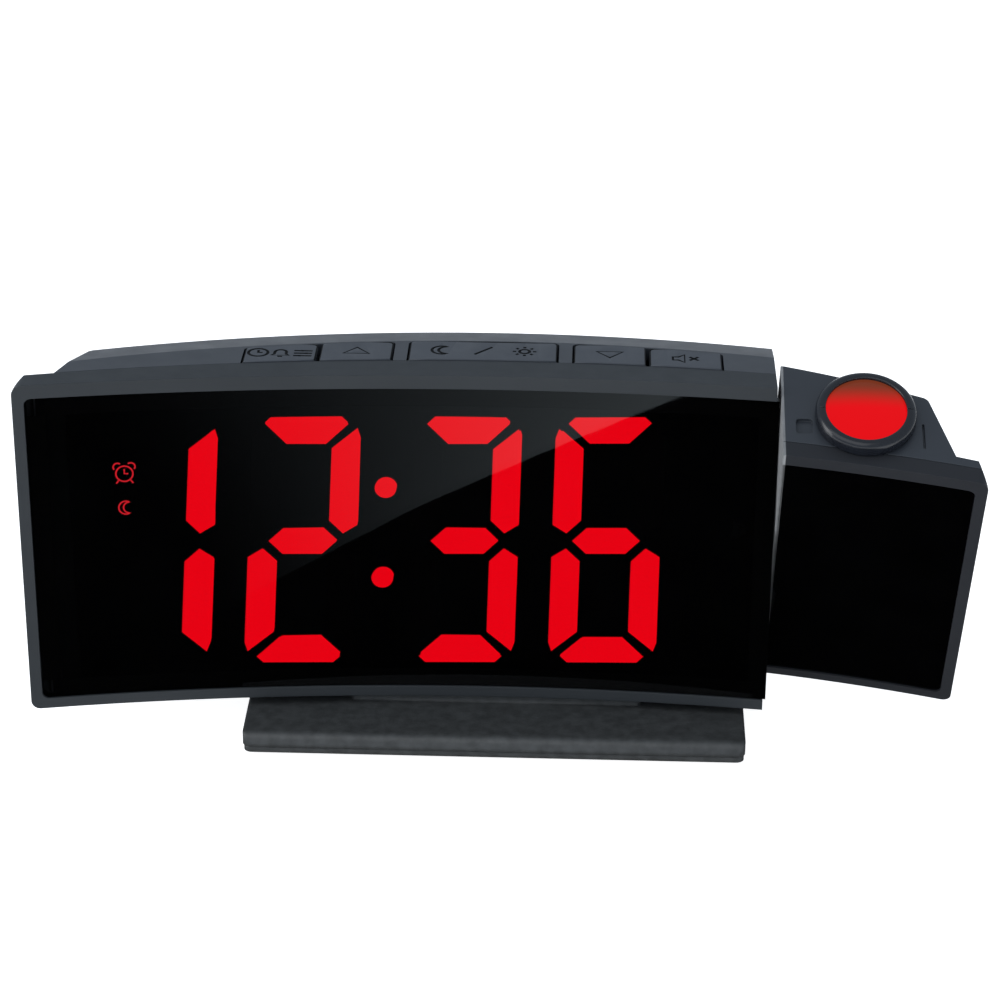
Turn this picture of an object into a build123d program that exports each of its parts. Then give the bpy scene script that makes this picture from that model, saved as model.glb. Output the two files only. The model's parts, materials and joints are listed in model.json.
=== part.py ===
"""Projection alarm clock with a concave front, five top keys and a turning projector pod.

Built in millimetres about the face datum: X runs to the right across the face, Y from the
viewer into the clock and Z up. Y = 0 is the middle of the concave front face, Z = 0 is the
underside of the body. The pod is drawn level with the body, then turned about its pivot.
The finished clock is moved so that its origin is on the table, under the middle of its
overall width and depth.
"""
import math
import os

from build123d import *

# ---- body, seen in plan: every long edge is an arc centred on the middle plane, given by ----
# ---- its depth at the middle and by how far it comes forward at the ends of the clock ----
overall_width = 198.0
body_height = 75.0
face_sag = 10.1              # concave front face
seam_depth = 8.1             # face to the seam between the front frame and the back shell
seam_sag = 12.57
seam_gap = 0.15
back_depth = 26.8            # face to the back, at the middle
back_sag = 18.66
frame_taper = 1.7            # each end of the front frame leans in this much by the seam
frame_corner = 2.0           # outer corners of the front frame
shell_step = 7.7             # the back shell starts this far in from the end of the face
pod_step = 6.1               # and that of the pod this far
ramp_run = 5.0               # their ends slope in this much further by the back
shell_edge = 2.0             # rounding of the back shell's end corner
crown_width = 7.6            # sloping band along the top and bottom of the back
crown_drop = 1.2
wall = 2.2                   # moulded end and back walls
roof = 2.8                   # moulded top and bottom walls
panel_overhang = 0.6         # the panel stands past the end of the body by this much
pod_gap = 0.8

# ---- front frames and panels ----
bezel_top = 3.1
bezel_bottom = 2.4
bezel_side = 2.45
panel_thickness = 2.0
panel_recess = 0.4           # frame face to panel face
panel_corner = 1.5
panel_fit = 0.1
ledge_width = 1.6            # ledge that the panel is bonded to
ledge_thickness = 1.2

# ---- display ----
mask_gap = 0.1               # panel to display block
mask_fit = 0.3
flange_thickness = 1.2
digit_floor = 7.6            # underside of the body to the foot of the digits
display_air = 0.9            # display block to the key board above it
first_digit_inset = 16.65    # left end of the clock to the first digit
last_digit_inset = 22.7      # last digit to the right end of the body
digit_gap = 7.15
colon_room = 4.2             # extra gap across the colon
digit_slant = 0.04
stroke = 6.0
stroke_gap = 1.25
stroke_tip = 1.4
light_pipe_depth = 2.0
colon_rise = 10.5            # each dot from the middle of the colon
colon_lift = 1.85            # middle of the colon above that of the digits
colon_radius = 2.3
indicator_inset = 21.4       # left end of the clock to the indicators
indicator_heights = (53.0, 45.2)
indicator_width = 2.6
block_margin = 1.0           # display block and board round the lights
board_plane = 9.4            # face to the front of the display board
board_thickness = 1.2
lamp_size = (1.6, 0.8, 1.6)  # small lamp behind each light
time_shown = "12:36"
lit_strokes = {
    "0": "abcdef", "1": "bc", "2": "abged", "3": "abgcd", "4": "fgbc",
    "5": "afgcd", "6": "afgecd", "7": "abc", "8": "abcdefg", "9": "abcdfg"}

# ---- keys ----
first_key_inset = 45.7       # left end of the clock to the first key
last_key_inset = 11.0        # last key to the right end of the body
snooze_width = 31.0
key_gap = 0.8                # between the two keys of a pair
bank_gap = 3.5               # between the snooze key and the pairs
key_line_depth = 18.8        # face to the back edge of the keys, at the middle
key_line_sag = 21.27
key_clearance = 0.35
key_corner = 1.2
key_proud = 0.2
key_height = 3.4
key_lip = 0.8                # lip that keeps the key under the shell
key_lip_height = 0.9
key_lip_gap = 0.1
key_travel = 0.5
stem_width = 2.6
stem_engagement = 0.5
stem_room = 0.25             # lip of a pressed key to the top of the switch
switch_height = 2.6
switch_width = 6.0
switch_well_fit = 0.3
switch_bottom_gap = 0.2
key_board_margin = 0.5       # key board round the switches, front and back
key_board_overhang = 1.0     # key board past the outer keys
key_screw_radius = 0.7
key_screw_head = 1.4
key_screw_head_height = 0.8
key_screw_bite = 2.6

# ---- screws that close the clock, put in from the back ----
post_width = 4.0
post_air = 0.3               # post to the walls beside it
post_start = 5.4             # face to the front end of a screw post
boss_width = 6.0
screw_radius = 1.0
screw_head_radius = 2.0
screw_head_height = 1.3
screw_bite = 6.0             # thread held by the front post
screw_fit = 0.2
counterbore_depth = 2.6
case_screw_inset = 15.8      # left end of the clock to the outer screws
inner_screw_inset = 4.9      # inner screws to the right end of the body
pod_screw_inset = 5.7        # main panel to the inner screws of the pod
outer_screw_inset = 16.0     # outer screw of the pod to the right end of the clock

# ---- speaker, battery bay and power inlet, all at the back ----
speaker_place = (14.0, 40.0)
speaker_radius = 14.0
speaker_depth = 4.5
speaker_ring = 1.4
cone_radius = 4.6            # dust cap at the middle of the speaker cone
slot_height = 1.5
slot_pitch = 3.2
slot_rows = 7
slot_field = 11.6
bay_place = (-38.0, 32.0)
door_size = 27.0
door_corner = 2.0
door_thickness = 1.6
door_fit = 0.3
door_seat = 0.3              # door to its ledge, which it meets along a curve
door_ledge = 2.0
door_lining = 2.2            # depth of the ledge round the opening
door_tongue = 1.5
door_notch_radius = 4.0
door_notch_depth = 0.8
cell_radius = 10.0
cell_thickness = 3.2
cell_fit = 0.2
holder_wall = 1.5
holder_floor = 1.2
contact_thickness = 0.3
contact_width = 4.0
inlet_inset = 12.8           # inlet to the right end of the body
inlet_height = 14.0
inlet_bore_radius = 2.75
inlet_bore_depth = 9.0
inlet_pin_radius = 0.7
inlet_width = 9.0
inlet_depth = 11.5
inlet_rim = 0.8
inlet_fit = 0.15

# ---- pivot between body and pod, an axis along X ----
pivot_y = 8.6
pivot_z = 41.0
pod_tilt = 26.0              # top of the pod turned towards the viewer, from level
shaft_radius = 5.6
shaft_bore = 3.4
shaft_fit = 0.07
shaft_flange_radius = 8.8
flange_air = 0.2
hub_depth = 3.3              # thickness of the end wall round the shaft
hub_ring = 2.2
spigot_radius = 4.8
spigot_length = 3.2
washer_radius = 8.3
washer_thickness = 0.8
washer_air = 0.1
cone_thickness = 0.4
cone_rise = 0.7
ring_thickness = 0.9
ring_depth = 1.0             # groove for the retaining ring
ring_radius = 8.0
ring_mouth = 3.2             # half of the mouth of the retaining ring
shaft_end = 1.2

# ---- projector in the pod, about an upright axis while the pod is level ----
lens_offset = 1.2            # optical axis to the middle of the room in the pod
lens_depth = 6.8
focus_radius = 10.3
focus_top = 3.1              # above the pod's deck
focus_air = 0.15
focus_bevel = 0.8
focus_mark_width = 0.35
focus_mark_depth = 0.3
neck_radius = 7.6
neck_height = 1.5
neck_fit = 0.08
lens_radius = 8.4
lens_air = 0.2               # neck to the front lens
lens_edge = 0.6
lens_crown = 0.6
lens_bevel = 2.4             # run of the bevel round a lens
lens_fit = 0.05
barrel_radius = 6.5
barrel_bore = 5.2
barrel_length = 27.0
nut_radius = 7.6
nut_height = 2.0
nut_slot = 1.2
nut_relief = 0.3
relay_drop = 9.0
relay_edge = 1.2
relay_crown = 1.2
slide_drop = 19.0
slide_size = 6.6
slide_thickness = 1.1
slide_fit = 0.1
carrier_thickness = 1.6
condenser_drop = 23.0
condenser_edge = 0.8
condenser_crown = 2.0
lug_reach = 9.6
lug_air = 2.3                # lugs to the walls of the pod
lug_width = 3.6
lug_height = 5.0
lug_screw_inset = 1.7
lug_screw_bite = 3.4
led_height = 3.2
led_radius = 2.5
pocket_width = 3.4
pocket_length = 4.0
pocket_depth = 0.8
pocket_corner = 0.8
pocket_offset = (4.7, 4.3)   # from the main panel and the middle of the face
slit_width = 0.5
slit_length = 6.4
slit_offset = (12.4, 2.2)    # from the right end and the middle of the face

# ---- stand ----
stand_width = 107.0
stand_depth = 43.0
stand_front = 15.2           # front of the stand ahead of the middle of the face
stand_drop = 6.5             # underside of the body to the underside of the stand
tray_thickness = 1.4
tray_inset = 0.25
lip_height = 4.2
lip_lean = 1.3
lip_round = 2.0
stand_corner = 2.0
cover_wall = 1.8
deck_rise = 0.6              # the deck rises this much towards the back
neck_width = 62.0
neck_front = 1.5
neck_back = 19.0
neck_slope = 0.5
neck_corner = 3.0
stand_screw_x = 22.0
stand_screw_y = 14.0
stand_screw_bite = 6.0
tray_boss = 1.5
foot_radius = 4.0
foot_thickness = 0.8
foot_inset = 8.5

# ---- values worked out from the dimensions above ----
half_width = overall_width / 2
pod_room = 2 * (lug_reach + lug_air)
pod_width = pod_gap + spigot_length + pod_room + ramp_run + wall + pod_step
split_x = half_width - pod_width     # right end of the main panel, where the pod begins
body_end = split_x - panel_overhang
pod_start = split_x + pod_gap
shell_left = -half_width + shell_step
panel_back = panel_recess + panel_thickness
ledge_back = panel_back + ledge_thickness
panel_low = bezel_bottom
panel_high = body_height - bezel_top
window_low = panel_low + ledge_width
window_high = panel_high - ledge_width
ceiling = body_height - roof
key_floor = ceiling - key_lip_gap - key_lip_height
switch_top = key_floor - key_travel - stem_room
key_board_top = switch_top - switch_height
board_back = board_plane + board_thickness
keys_left = first_key_inset - half_width
keys_right = body_end - last_key_inset
key_bank_centre = (keys_left + keys_right) / 2
key_width = (keys_right - keys_left - snooze_width - 2 * bank_gap - 2 * key_gap) / 4
digits_left = first_digit_inset - half_width
digits_right = body_end - last_digit_inset
digit_width = (digits_right - digits_left - colon_room - 3 * digit_gap) / 4
digit_pitch = digit_width + digit_gap
digit_top = key_board_top - board_thickness - display_air - block_margin
digit_height = digit_top - digit_floor
digit_centre = ((digits_left + digits_right) / 2, (digit_floor + digit_top) / 2)
indicator_x = indicator_inset - half_width
case_screw_columns = (case_screw_inset - half_width, body_end - inner_screw_inset)
case_screw_places = [(x, row) for x in case_screw_columns for row in ("low", "high")]
pod_screw_x = split_x + pod_screw_inset
pod_screw_places = [(pod_screw_x, "low"), (pod_screw_x, "high"), (half_width - outer_screw_inset, "low")]
inlet_place = (body_end - inlet_inset, inlet_height)
cell_front = board_back + holder_floor + contact_thickness + cell_fit
hub_left = body_end - hub_depth
washer_left = hub_left - washer_air - washer_thickness
cone_right = washer_left - washer_air
ring_left = cone_right - cone_thickness - cone_rise - washer_air - ring_thickness
shaft_left = ring_left - shaft_end
lens_place = (pod_start + spigot_length + pod_room / 2 + lens_offset, lens_depth)
lens_floor = body_height + neck_height + lens_air
barrel_foot = body_height - barrel_length
stand_low = -stand_drop
tray_top = stand_low + tray_thickness
lip_top = stand_low + lip_height
stand_back = stand_depth - stand_front
deep = back_depth + stand_depth      # cutting tools reach past the clock in depth
past = wall / 2                      # and this far past a face


# ------------------------------------------------------------------ helpers
def plan_arc(depth, sag):
    """A long arc in plan: its depth at the middle and its radius."""
    return depth, (half_width ** 2 + sag ** 2) / (2 * sag)


FACE = plan_arc(0, face_sag)
SEAM = plan_arc(seam_depth, seam_sag)
BACK = plan_arc(back_depth, back_sag)
KEY_LINE = plan_arc(key_line_depth, key_line_sag)


def arc_y(arc, x):
    """Y of an arc, given as depth at the middle and radius, at x."""
    depth, radius = arc
    return depth - radius + math.sqrt(radius ** 2 - x ** 2)


def behind(arc, distance):
    """The parallel arc further from the viewer."""
    depth, radius = arc
    return depth + distance, radius + distance


def curved_slab(front, back, left, right, low, high):
    """A slab between two plan arcs. An end is one x, or x at the front and at the back."""
    left_near, left_far = left if isinstance(left, tuple) else (left, left)
    right_near, right_far = right if isinstance(right, tuple) else (right, right)

    def run(arc, start, end):
        return ThreePointArc(*[(x, arc_y(arc, x)) for x in (start, (start + end) / 2, end)])

    near = run(front, left_near, right_near)
    far = run(back, right_far, left_far)
    outline = make_face([near, Line(near @ 1, far @ 0), far, Line(far @ 1, near @ 0)])
    return Pos(0, 0, low) * extrude(outline, amount=high - low, dir=(0, 0, 1))


def block(left, right, front, back, low, high):
    """A plain box given by its limits."""
    size = Box(right - left, back - front, high - low)
    return Pos((left + right) / 2, (front + back) / 2, (low + high) / 2) * size


def through(sheet):
    """A shape drawn as seen from the front, run through the whole depth."""
    return extrude(Plane.XZ * sheet, amount=deep, both=True)


def elevation_block(left, right, low, high, left_corner=0.0, right_corner=0.0):
    """A block through the whole depth, its corners rounded as seen from the front."""
    sheet = Pos((left + right) / 2, (low + high) / 2) * Rectangle(right - left, high - low)
    if left_corner:
        sheet = fillet(sheet.vertices().group_by(Axis.X)[0], left_corner)
    if right_corner:
        sheet = fillet(sheet.vertices().group_by(Axis.X)[-1], right_corner)
    return through(sheet)


def rod_y(x, z, radius, front, back):
    """A round bar along Y."""
    bar = Cylinder(radius, back - front, rotation=(90, 0, 0))
    return Pos(x, (front + back) / 2, z) * bar


def rod_x(radius, left, right):
    """A round bar along the pivot axis."""
    bar = Cylinder(radius, right - left, rotation=(0, 90, 0))
    return Pos((left + right) / 2, pivot_y, pivot_z) * bar


def rod_z(place, radius, low, high):
    """An upright round bar."""
    return Pos(place[0], place[1], (low + high) / 2) * Cylinder(radius, high - low)


def bar_y(x, z, width, front, back):
    """A square bar along Y."""
    half = width / 2
    return block(x - half, x + half, front, back, z - half, z + half)


def bar_z(place, width, low, high):
    """An upright square bar."""
    x, y = place
    half = width / 2
    return block(x - half, x + half, y - half, y + half, low, high)


def joined(pieces):
    """All the pieces fused."""
    total = pieces[0]
    for piece in pieces[1:]:
        total = total + piece
    return total


# ------------------------------------------------------------------ front frames and panels
def envelope(left, right, round_left, round_right):
    """Outside of the clock from the face to the seam. Rounded ends lean in by the taper."""
    left_end = (left, left + frame_taper if round_left else left)
    right_end = (right, right - frame_taper if round_right else right)
    solid = curved_slab(FACE, SEAM, left_end, right_end, 0, body_height)
    corners = [frame_corner if rounded else 0 for rounded in (round_left, round_right)]
    return solid & elevation_block(left, right, 0, body_height, *corners)


def face_opening(left, right, low, high, left_corner, right_corner, near, far):
    """Cutting tool for an opening of the face, between two depths behind it."""
    hole = elevation_block(left, right, low, high, left_corner, right_corner)
    return hole & curved_slab(
        behind(FACE, near), behind(FACE, far), left - past, right + past, low - past, high + past)


def front_post(x, row, start, wall_back):
    """Screw post of a front frame, with the gusset that ties it to the wall and ledge."""
    z = post_height(row)
    face_y = arc_y(FACE, x)
    ledge_middle = face_y + panel_back + ledge_thickness / 2
    if row == "low":
        beside = [(roof / 2, window_low), (roof / 2, z)]
    else:
        beside = [(window_high, body_height - roof / 2), (z, body_height - roof / 2)]
    gusset = joined([
        block(x - post_width / 2, x + post_width / 2, front, deep, low, high)
        for front, (low, high) in zip((ledge_middle, face_y + start), beside)])
    gusset &= curved_slab(
        behind(FACE, panel_back), wall_back, x - post_width, x + post_width, 0, body_height)
    post = bar_y(x, z, post_width, face_y + start, post_joint(x))
    bore = rod_y(x, z, screw_radius, post_joint(x) - screw_bite, post_joint(x) + past)
    return gusset + post, bore


def post_height(row):
    """Height of the lower or upper row of screw posts."""
    inset = roof + post_air + post_width / 2
    return inset if row == "low" else body_height - inset


def post_joint(x):
    """Y where a front post meets the boss of the back shell."""
    return arc_y(FACE, x) + post_start + screw_bite + screw_radius


def front_frame():
    """Face ring of the body: a seat and ledge for the panel, open at the pod's end."""
    left, right = -half_width, body_end
    frame = envelope(left, right, True, False)
    frame -= face_opening(
        left + bezel_side - panel_fit, right + past, panel_low - panel_fit, panel_high + panel_fit,
        panel_corner, 0, -past, panel_back)
    frame -= face_opening(
        shell_left + wall, right + past, window_low, window_high, panel_corner, 0, panel_recess, deep)
    frame -= face_opening(
        shell_left + wall, right + past, roof, ceiling, panel_corner, 0, ledge_back, deep)
    for x, row in case_screw_places:
        post, bore = front_post(x, row, post_start, SEAM)
        frame = frame + post - bore
    return frame


def panel(left, right, left_corner, right_corner):
    """Curved panel with its rounded corners at the outer end."""
    low, high = panel_low, panel_high
    slab = curved_slab(behind(FACE, panel_recess), behind(FACE, panel_back), left, right, low, high)
    return slab & elevation_block(left, right, low, high, left_corner, right_corner)


def front_panel():
    return panel(-half_width + bezel_side, split_x, panel_corner, 0)


# ------------------------------------------------------------------ back shells
def crowned(solid, with_top):
    """Cuts the sloping crowns of the back: a ring turned about the centre of the back arc."""
    depth, radius = BACK
    centre = depth - radius
    near = radius - deep
    slope = radius - crown_width
    top = [(radius, body_height - crown_drop), (slope, body_height)]
    if not with_top:
        top = [(radius, body_height)]
    profile = Polyline(
        (near, 0), (slope, 0), (radius, crown_drop), *top, (near, body_height), close=True)
    plane = Plane(origin=(0, centre, 0), x_dir=(0, 1, 0), z_dir=(1, 0, 0))
    return solid & revolve(plane * make_face(profile), axis=Axis((0, centre, 0), (0, 0, 1)))


def rear_slab(front, left, right):
    """Back part of a shell in plan, with the vertical edge rounded where an end slopes in."""
    solid = curved_slab(front, BACK, left, right, 0, body_height)
    rear_edges = solid.edges().filter_by(Axis.Z).sort_by(Axis.Y)[-2:].sort_by(Axis.X)
    return fillet(rear_edges[0 if isinstance(left, tuple) else -1], shell_edge)


def body_outside():
    """Outside of the back shell of the body."""
    slab = rear_slab(behind(SEAM, seam_gap), (shell_left, shell_left + ramp_run), body_end)
    return crowned(slab, True)


def end_wall():
    """Wall that closes the body at the pod. It reaches the panel inside the open front frame."""
    right = body_end
    left = right - wall
    behind_panel = curved_slab(
        behind(FACE, panel_back + mask_gap), SEAM, left, right,
        window_low + panel_fit, window_high - panel_fit)
    behind_ledge = curved_slab(
        behind(FACE, ledge_back + mask_gap), behind(SEAM, past), left, right,
        roof + panel_fit, ceiling - panel_fit)
    hub = rod_x(shaft_radius + hub_ring, hub_left, right)
    return behind_panel + behind_ledge + hub


def shell_boss(x, row):
    """Boss from the back to a front post, and the stepped hole for its screw."""
    z = post_height(row)
    outside = arc_y(BACK, x)
    boss = bar_y(x, z, boss_width, post_joint(x), deep)
    hole = rod_y(x, z, screw_radius + screw_fit, post_joint(x) - past, deep)
    head = rod_y(x, z, screw_head_radius + screw_fit, outside - counterbore_depth, deep)
    return boss, hole + head


def key_spans():
    """Left and right end of each key, from left to right."""
    near = snooze_width / 2 + bank_gap
    far = near + key_width + key_gap
    offsets = [(near, near + key_width), (far, far + key_width)]
    right = [(key_bank_centre + a, key_bank_centre + b) for a, b in offsets]
    left = [(key_bank_centre - b, key_bank_centre - a) for a, b in reversed(offsets)]
    snooze = (key_bank_centre - snooze_width / 2, key_bank_centre + snooze_width / 2)
    return [*left, snooze, *right]


def key_openings():
    """Openings in the top of the shell: one for each pair of keys and one for the snooze key."""
    spans = key_spans()
    holes = []
    for left, right in ((spans[0][0], spans[1][1]), spans[2], (spans[3][0], spans[4][1])):
        hole = curved_slab(
            behind(SEAM, -past), KEY_LINE, left - key_clearance, right + key_clearance,
            ceiling - past, body_height + past)
        rear_corners = hole.edges().filter_by(Axis.Z).sort_by(Axis.Y)[-2:]
        holes.append(fillet(rear_corners, key_corner))
    return joined(holes)


def speaker_slots():
    """Horizontal sound slots that fill a round field."""
    x, z = speaker_place
    slots = []
    for row in range(slot_rows):
        rise = (row - (slot_rows - 1) / 2) * slot_pitch
        length = 2 * math.sqrt(slot_field ** 2 - rise ** 2)
        slot = Pos(x, z + rise) * Rectangle(length, slot_height)
        slots.append(extrude(Plane.XZ * slot, amount=-deep))
    return joined(slots)


def inner_back(x):
    """Y of the inside of the back at x."""
    return arc_y(behind(BACK, -wall), x)


def speaker_back():
    """Y of the flat rim of the speaker, in front of the nearer side of the curved back."""
    x = speaker_place[0]
    reach = speaker_radius
    return min(inner_back(x - reach), inner_back(x + reach)) - speaker_ring


def speaker_seat():
    """Square collar inside the back, whose flat end carries the rim of the speaker."""
    x, z = speaker_place
    collar = bar_y(x, z, 2 * speaker_radius, speaker_back(), deep)
    return collar - rod_y(x, z, speaker_radius - speaker_ring, 0, deep)


def door_outline(size):
    """Battery opening as seen from behind, through the whole back."""
    sheet = Pos(*bay_place) * RectangleRounded(size, size, door_corner)
    return extrude(Plane.XZ * sheet, amount=-deep)


def door_layer(near, far):
    """Part of the back round the battery bay, between two depths in from its outside."""
    x, z = bay_place
    return curved_slab(
        behind(BACK, -far), behind(BACK, -near), x - door_size, x + door_size, z - door_size, z + door_size)


def inlet_cheeks():
    """Ribs above and below the power inlet."""
    x, z = inlet_place
    reach = inlet_width / 2 + inlet_fit
    return joined([
        block(x - reach, x + reach, inner_back(x) - inlet_depth, deep, low, low + inlet_rim)
        for low in (z - reach - inlet_rim, z + reach)])


def key_post_places():
    """The two posts under the strips between the snooze key and the pairs."""
    reach = (snooze_width + bank_gap) / 2
    return [(key_bank_centre + side * reach, key_board_y()) for side in (-1, 1)]


def key_post(place):
    """Post that the key board hangs on, and its screw hole."""
    post = bar_z(place, bank_gap - 2 * key_clearance, key_board_top, body_height - roof / 2)
    return post, rod_z(place, key_screw_radius, key_board_top - past, key_board_top + key_screw_bite)


def stand_screw_spots():
    return [(side * stand_screw_x, stand_screw_y) for side in (-1, 1)]


def back_shell():
    """Back of the body with its end wall, key openings, collars, bay and bosses."""
    outside = body_outside()
    shell = outside - curved_slab(
        SEAM, behind(BACK, -wall), (shell_left + wall, shell_left + wall + ramp_run), body_end - wall,
        roof, ceiling)
    inside = curved_slab(
        behind(FACE, ledge_back), behind(BACK, -wall / 2), shell_left, body_end, roof / 2,
        body_height - roof / 2)
    fittings = [speaker_seat(), inlet_cheeks()]
    lining = door_layer(0, door_thickness + door_seat + door_lining)
    fittings.append(door_outline(door_size + 2 * wall) & lining)
    holes = [key_openings(), speaker_slots(), inlet_hole()]
    for x, row in case_screw_places:
        boss, hole = shell_boss(x, row)
        fittings.append(boss)
        holes.append(hole)
    for fitting in fittings:
        shell += fitting & inside
    for place in stand_screw_spots():
        shell += bar_z(place, boss_width, roof / 2, stand_screw_bite + roof / 2)
        holes.append(rod_z(place, screw_radius, -past, stand_screw_bite))
    for place in key_post_places():
        post, hole = key_post(place)
        shell += post
        holes.append(hole)
    shell += end_wall()
    holes.append(door_outline(door_size) & door_layer(-past, door_thickness + door_seat))
    holes.append(bar_y(*bay_place, door_size - 2 * door_ledge, 0, deep))
    holes.append(rod_x(shaft_radius + shaft_fit, hub_left - past, body_end + past))
    for hole in holes:
        shell -= hole
    return shell


# ------------------------------------------------------------------ display
def stroke_points(name):
    """Corner points of one stroke of an upright digit centred on the origin."""
    half_w = digit_width / 2
    half_h = digit_height / 2
    tip = half_w - stroke_gap - stroke_tip
    inner = half_w - stroke_gap - stroke
    waist = stroke_gap * math.sqrt(2)
    if name == "g":
        reach = half_w - stroke / 2 - stroke_gap
        half = [(-reach, 0), (stroke / 2 - reach, stroke / 2), (reach - stroke / 2, stroke / 2)]
        return half + [(-x, -z) for x, z in half]
    if name in "ad":
        points = [(-tip, half_h - stroke_tip), (stroke_tip - tip, half_h), (tip - stroke_tip, half_h),
                  (tip, half_h - stroke_tip), (inner, half_h - stroke), (-inner, half_h - stroke)]
    else:
        shoulder = half_h - stroke_gap - stroke_tip
        points = [(half_w, shoulder - 1.5 * stroke_tip), (half_w - stroke_tip / 2, shoulder),
                  (half_w - stroke, shoulder + stroke_tip - stroke), (half_w - stroke, waist + stroke / 2),
                  (half_w - stroke / 2, waist), (half_w, waist + stroke / 3)]
    side = -1 if name in "ef" else 1
    level = -1 if name in "dce" else 1
    return [(side * x, level * z) for x, z in points]


def digit_centres():
    """Centre of each digit at half height, from left to right."""
    x, z = digit_centre
    half = (digit_pitch + colon_room) / 2
    return [(x + shift, z) for shift in (-half - digit_pitch, -half, half, half + digit_pitch)]


def stroke_outlines():
    """Name of the digit, name of the stroke and slanted outline of every stroke.

    The first digit only ever shows a one, so it has no more than its two right strokes.
    """
    found = []
    digits = time_shown.replace(":", "")
    for place, (digit, (x0, z0)) in enumerate(zip(digits, digit_centres())):
        for name in lit_strokes["1"] if place == 0 else "abcdefg":
            points = [(x0 + x + digit_slant * z, z0 + z) for x, z in stroke_points(name)]
            found.append((digit, name, points))
    return found


def dot_places():
    """Centres of the two lights of the colon."""
    x, z = digit_centre
    rises = (colon_lift - colon_rise, colon_lift + colon_rise)
    return [(x + digit_slant * rise, z + rise) for rise in rises]


def indicator_places():
    return [(indicator_x, height) for height in indicator_heights]


def lit_sheets():
    """Outlines of the strokes and dots that shine."""
    strokes = [points for digit, name, points in stroke_outlines() if name in lit_strokes[digit]]
    return [stroke_sheet(points) for points in strokes] + [
        dot_sheet(place, colon_radius) for place in dot_places()]


def unlit_sheets():
    """Outlines of the strokes that stay dark."""
    strokes = [points for digit, name, points in stroke_outlines() if name not in lit_strokes[digit]]
    return [stroke_sheet(points) for points in strokes]


def indicator_sheets():
    return [Pos(*place) * Rectangle(indicator_width, indicator_width) for place in indicator_places()]


def stroke_sheet(points):
    return make_face(Polyline(*points, close=True))


def dot_sheet(place, radius):
    return Pos(*place) * Circle(radius)


def light_pipes(sheets):
    """Light pipes that fill the front of the wells of the display block."""
    near = behind(FACE, panel_back + mask_gap)
    far = behind(FACE, panel_back + mask_gap + light_pipe_depth)
    layer = curved_slab(near, far, -half_width, body_end, 0, body_height)
    return [through(sheet) & layer for sheet in sheets]


def light_field():
    """Left, right, low and high limit of the lights, with the margin round them."""
    low = digit_centre[1] - digit_height / 2
    right = digit_centres()[-1][0] + digit_width / 2 + digit_slant * digit_height / 2
    left = indicator_x - indicator_width / 2
    return left - block_margin, right + block_margin, low - block_margin, low + digit_height + block_margin


def post_notches():
    """Notches in the flange of the display block round the gussets of the front posts."""
    reach = post_width / 2 + mask_fit
    notches = []
    for x, row in case_screw_places:
        low, high = (0, window_low + mask_fit) if row == "low" else (window_high - mask_fit, body_height)
        notches.append(block(x - reach, x + reach, -deep, deep, low, high))
    return joined(notches)


def display_block():
    """Black light block: a stepped plate behind the panel and a deep part with light wells."""
    left = shell_left + wall + mask_fit
    right = body_end - wall - mask_fit
    front = behind(FACE, panel_back + mask_gap)
    rear = behind(FACE, ledge_back + flange_thickness)
    low, high = window_low + mask_fit, window_high - mask_fit
    plate = curved_slab(front, rear, left, right, low, high)
    plate &= elevation_block(left, right, low, high, panel_corner, 0)
    low, high = roof + mask_fit, ceiling - mask_fit
    flange = curved_slab(behind(FACE, ledge_back), rear, left, right, low, high)
    flange &= elevation_block(left, right, low, high, panel_corner, 0)
    field_left, field_right, low, high = light_field()
    core = block(field_left, field_right, -deep, board_plane, low, high)
    core &= curved_slab(front, behind(FACE, deep), left, right, 0, body_height)
    solid = plate + (flange - post_notches()) + core
    solid -= rod_x(washer_radius + 2 * mask_fit, shaft_left - mask_fit, body_end)
    for sheet in lit_sheets() + unlit_sheets() + indicator_sheets():
        solid -= through(sheet)
    return solid


def display_board():
    left, right, low, high = light_field()
    return block(left, right, board_plane, board_back, low, high)


def display_lamps():
    """One small lamp on the board in the middle of every light well."""
    width, depth, height = lamp_size
    places = dot_places() + indicator_places()
    for _, _, points in stroke_outlines():
        xs = [x for x, _ in points]
        zs = [z for _, z in points]
        places.append(((min(xs) + max(xs)) / 2, (min(zs) + max(zs)) / 2))
    front = board_plane - depth
    return [
        block(x - width / 2, x + width / 2, front, board_plane, z - height / 2, z + height / 2)
        for x, z in places]


# ------------------------------------------------------------------ keys and their board
def key_middle(span):
    """Plan centre of a key."""
    x = (span[0] + span[1]) / 2
    return x, (arc_y(SEAM, x) + arc_y(KEY_LINE, x)) / 2


def key_depths():
    """Y of the nearest and of the furthest key centre."""
    ys = [key_middle(span)[1] for span in key_spans()]
    return min(ys), max(ys)


def key_board_y():
    return sum(key_depths()) / 2


def key_cap(span):
    """A key: curved cap, a lip that keeps it under the shell and a stem."""
    left, right = span
    front = behind(SEAM, key_clearance)
    back = behind(KEY_LINE, -key_clearance)
    cap = curved_slab(front, back, left, right, body_height - key_height, body_height + key_proud)
    cap = fillet(cap.edges().filter_by(Axis.Z).sort_by(Axis.Y)[-2:], key_corner - key_clearance)
    lip_top = key_floor + key_lip_height
    lip = curved_slab(behind(front, -key_lip), behind(back, key_lip), left, right, key_floor, lip_top)
    stem = bar_z(key_middle(span), stem_width, switch_top - stem_engagement, lip_top)
    return cap + lip + stem


def key_board():
    """Narrow board under the keys, with its two screw holes."""
    spans = key_spans()
    near, far = key_depths()
    reach = switch_width / 2 + key_board_margin
    board = block(
        spans[0][0] - key_board_overhang, spans[-1][1] + key_board_overhang,
        near - reach, far + reach, key_board_top - board_thickness, key_board_top)
    for place in key_post_places():
        board -= rod_z(place, key_screw_radius + screw_fit, key_board_top - deep, key_board_top + past)
    return board


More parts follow.
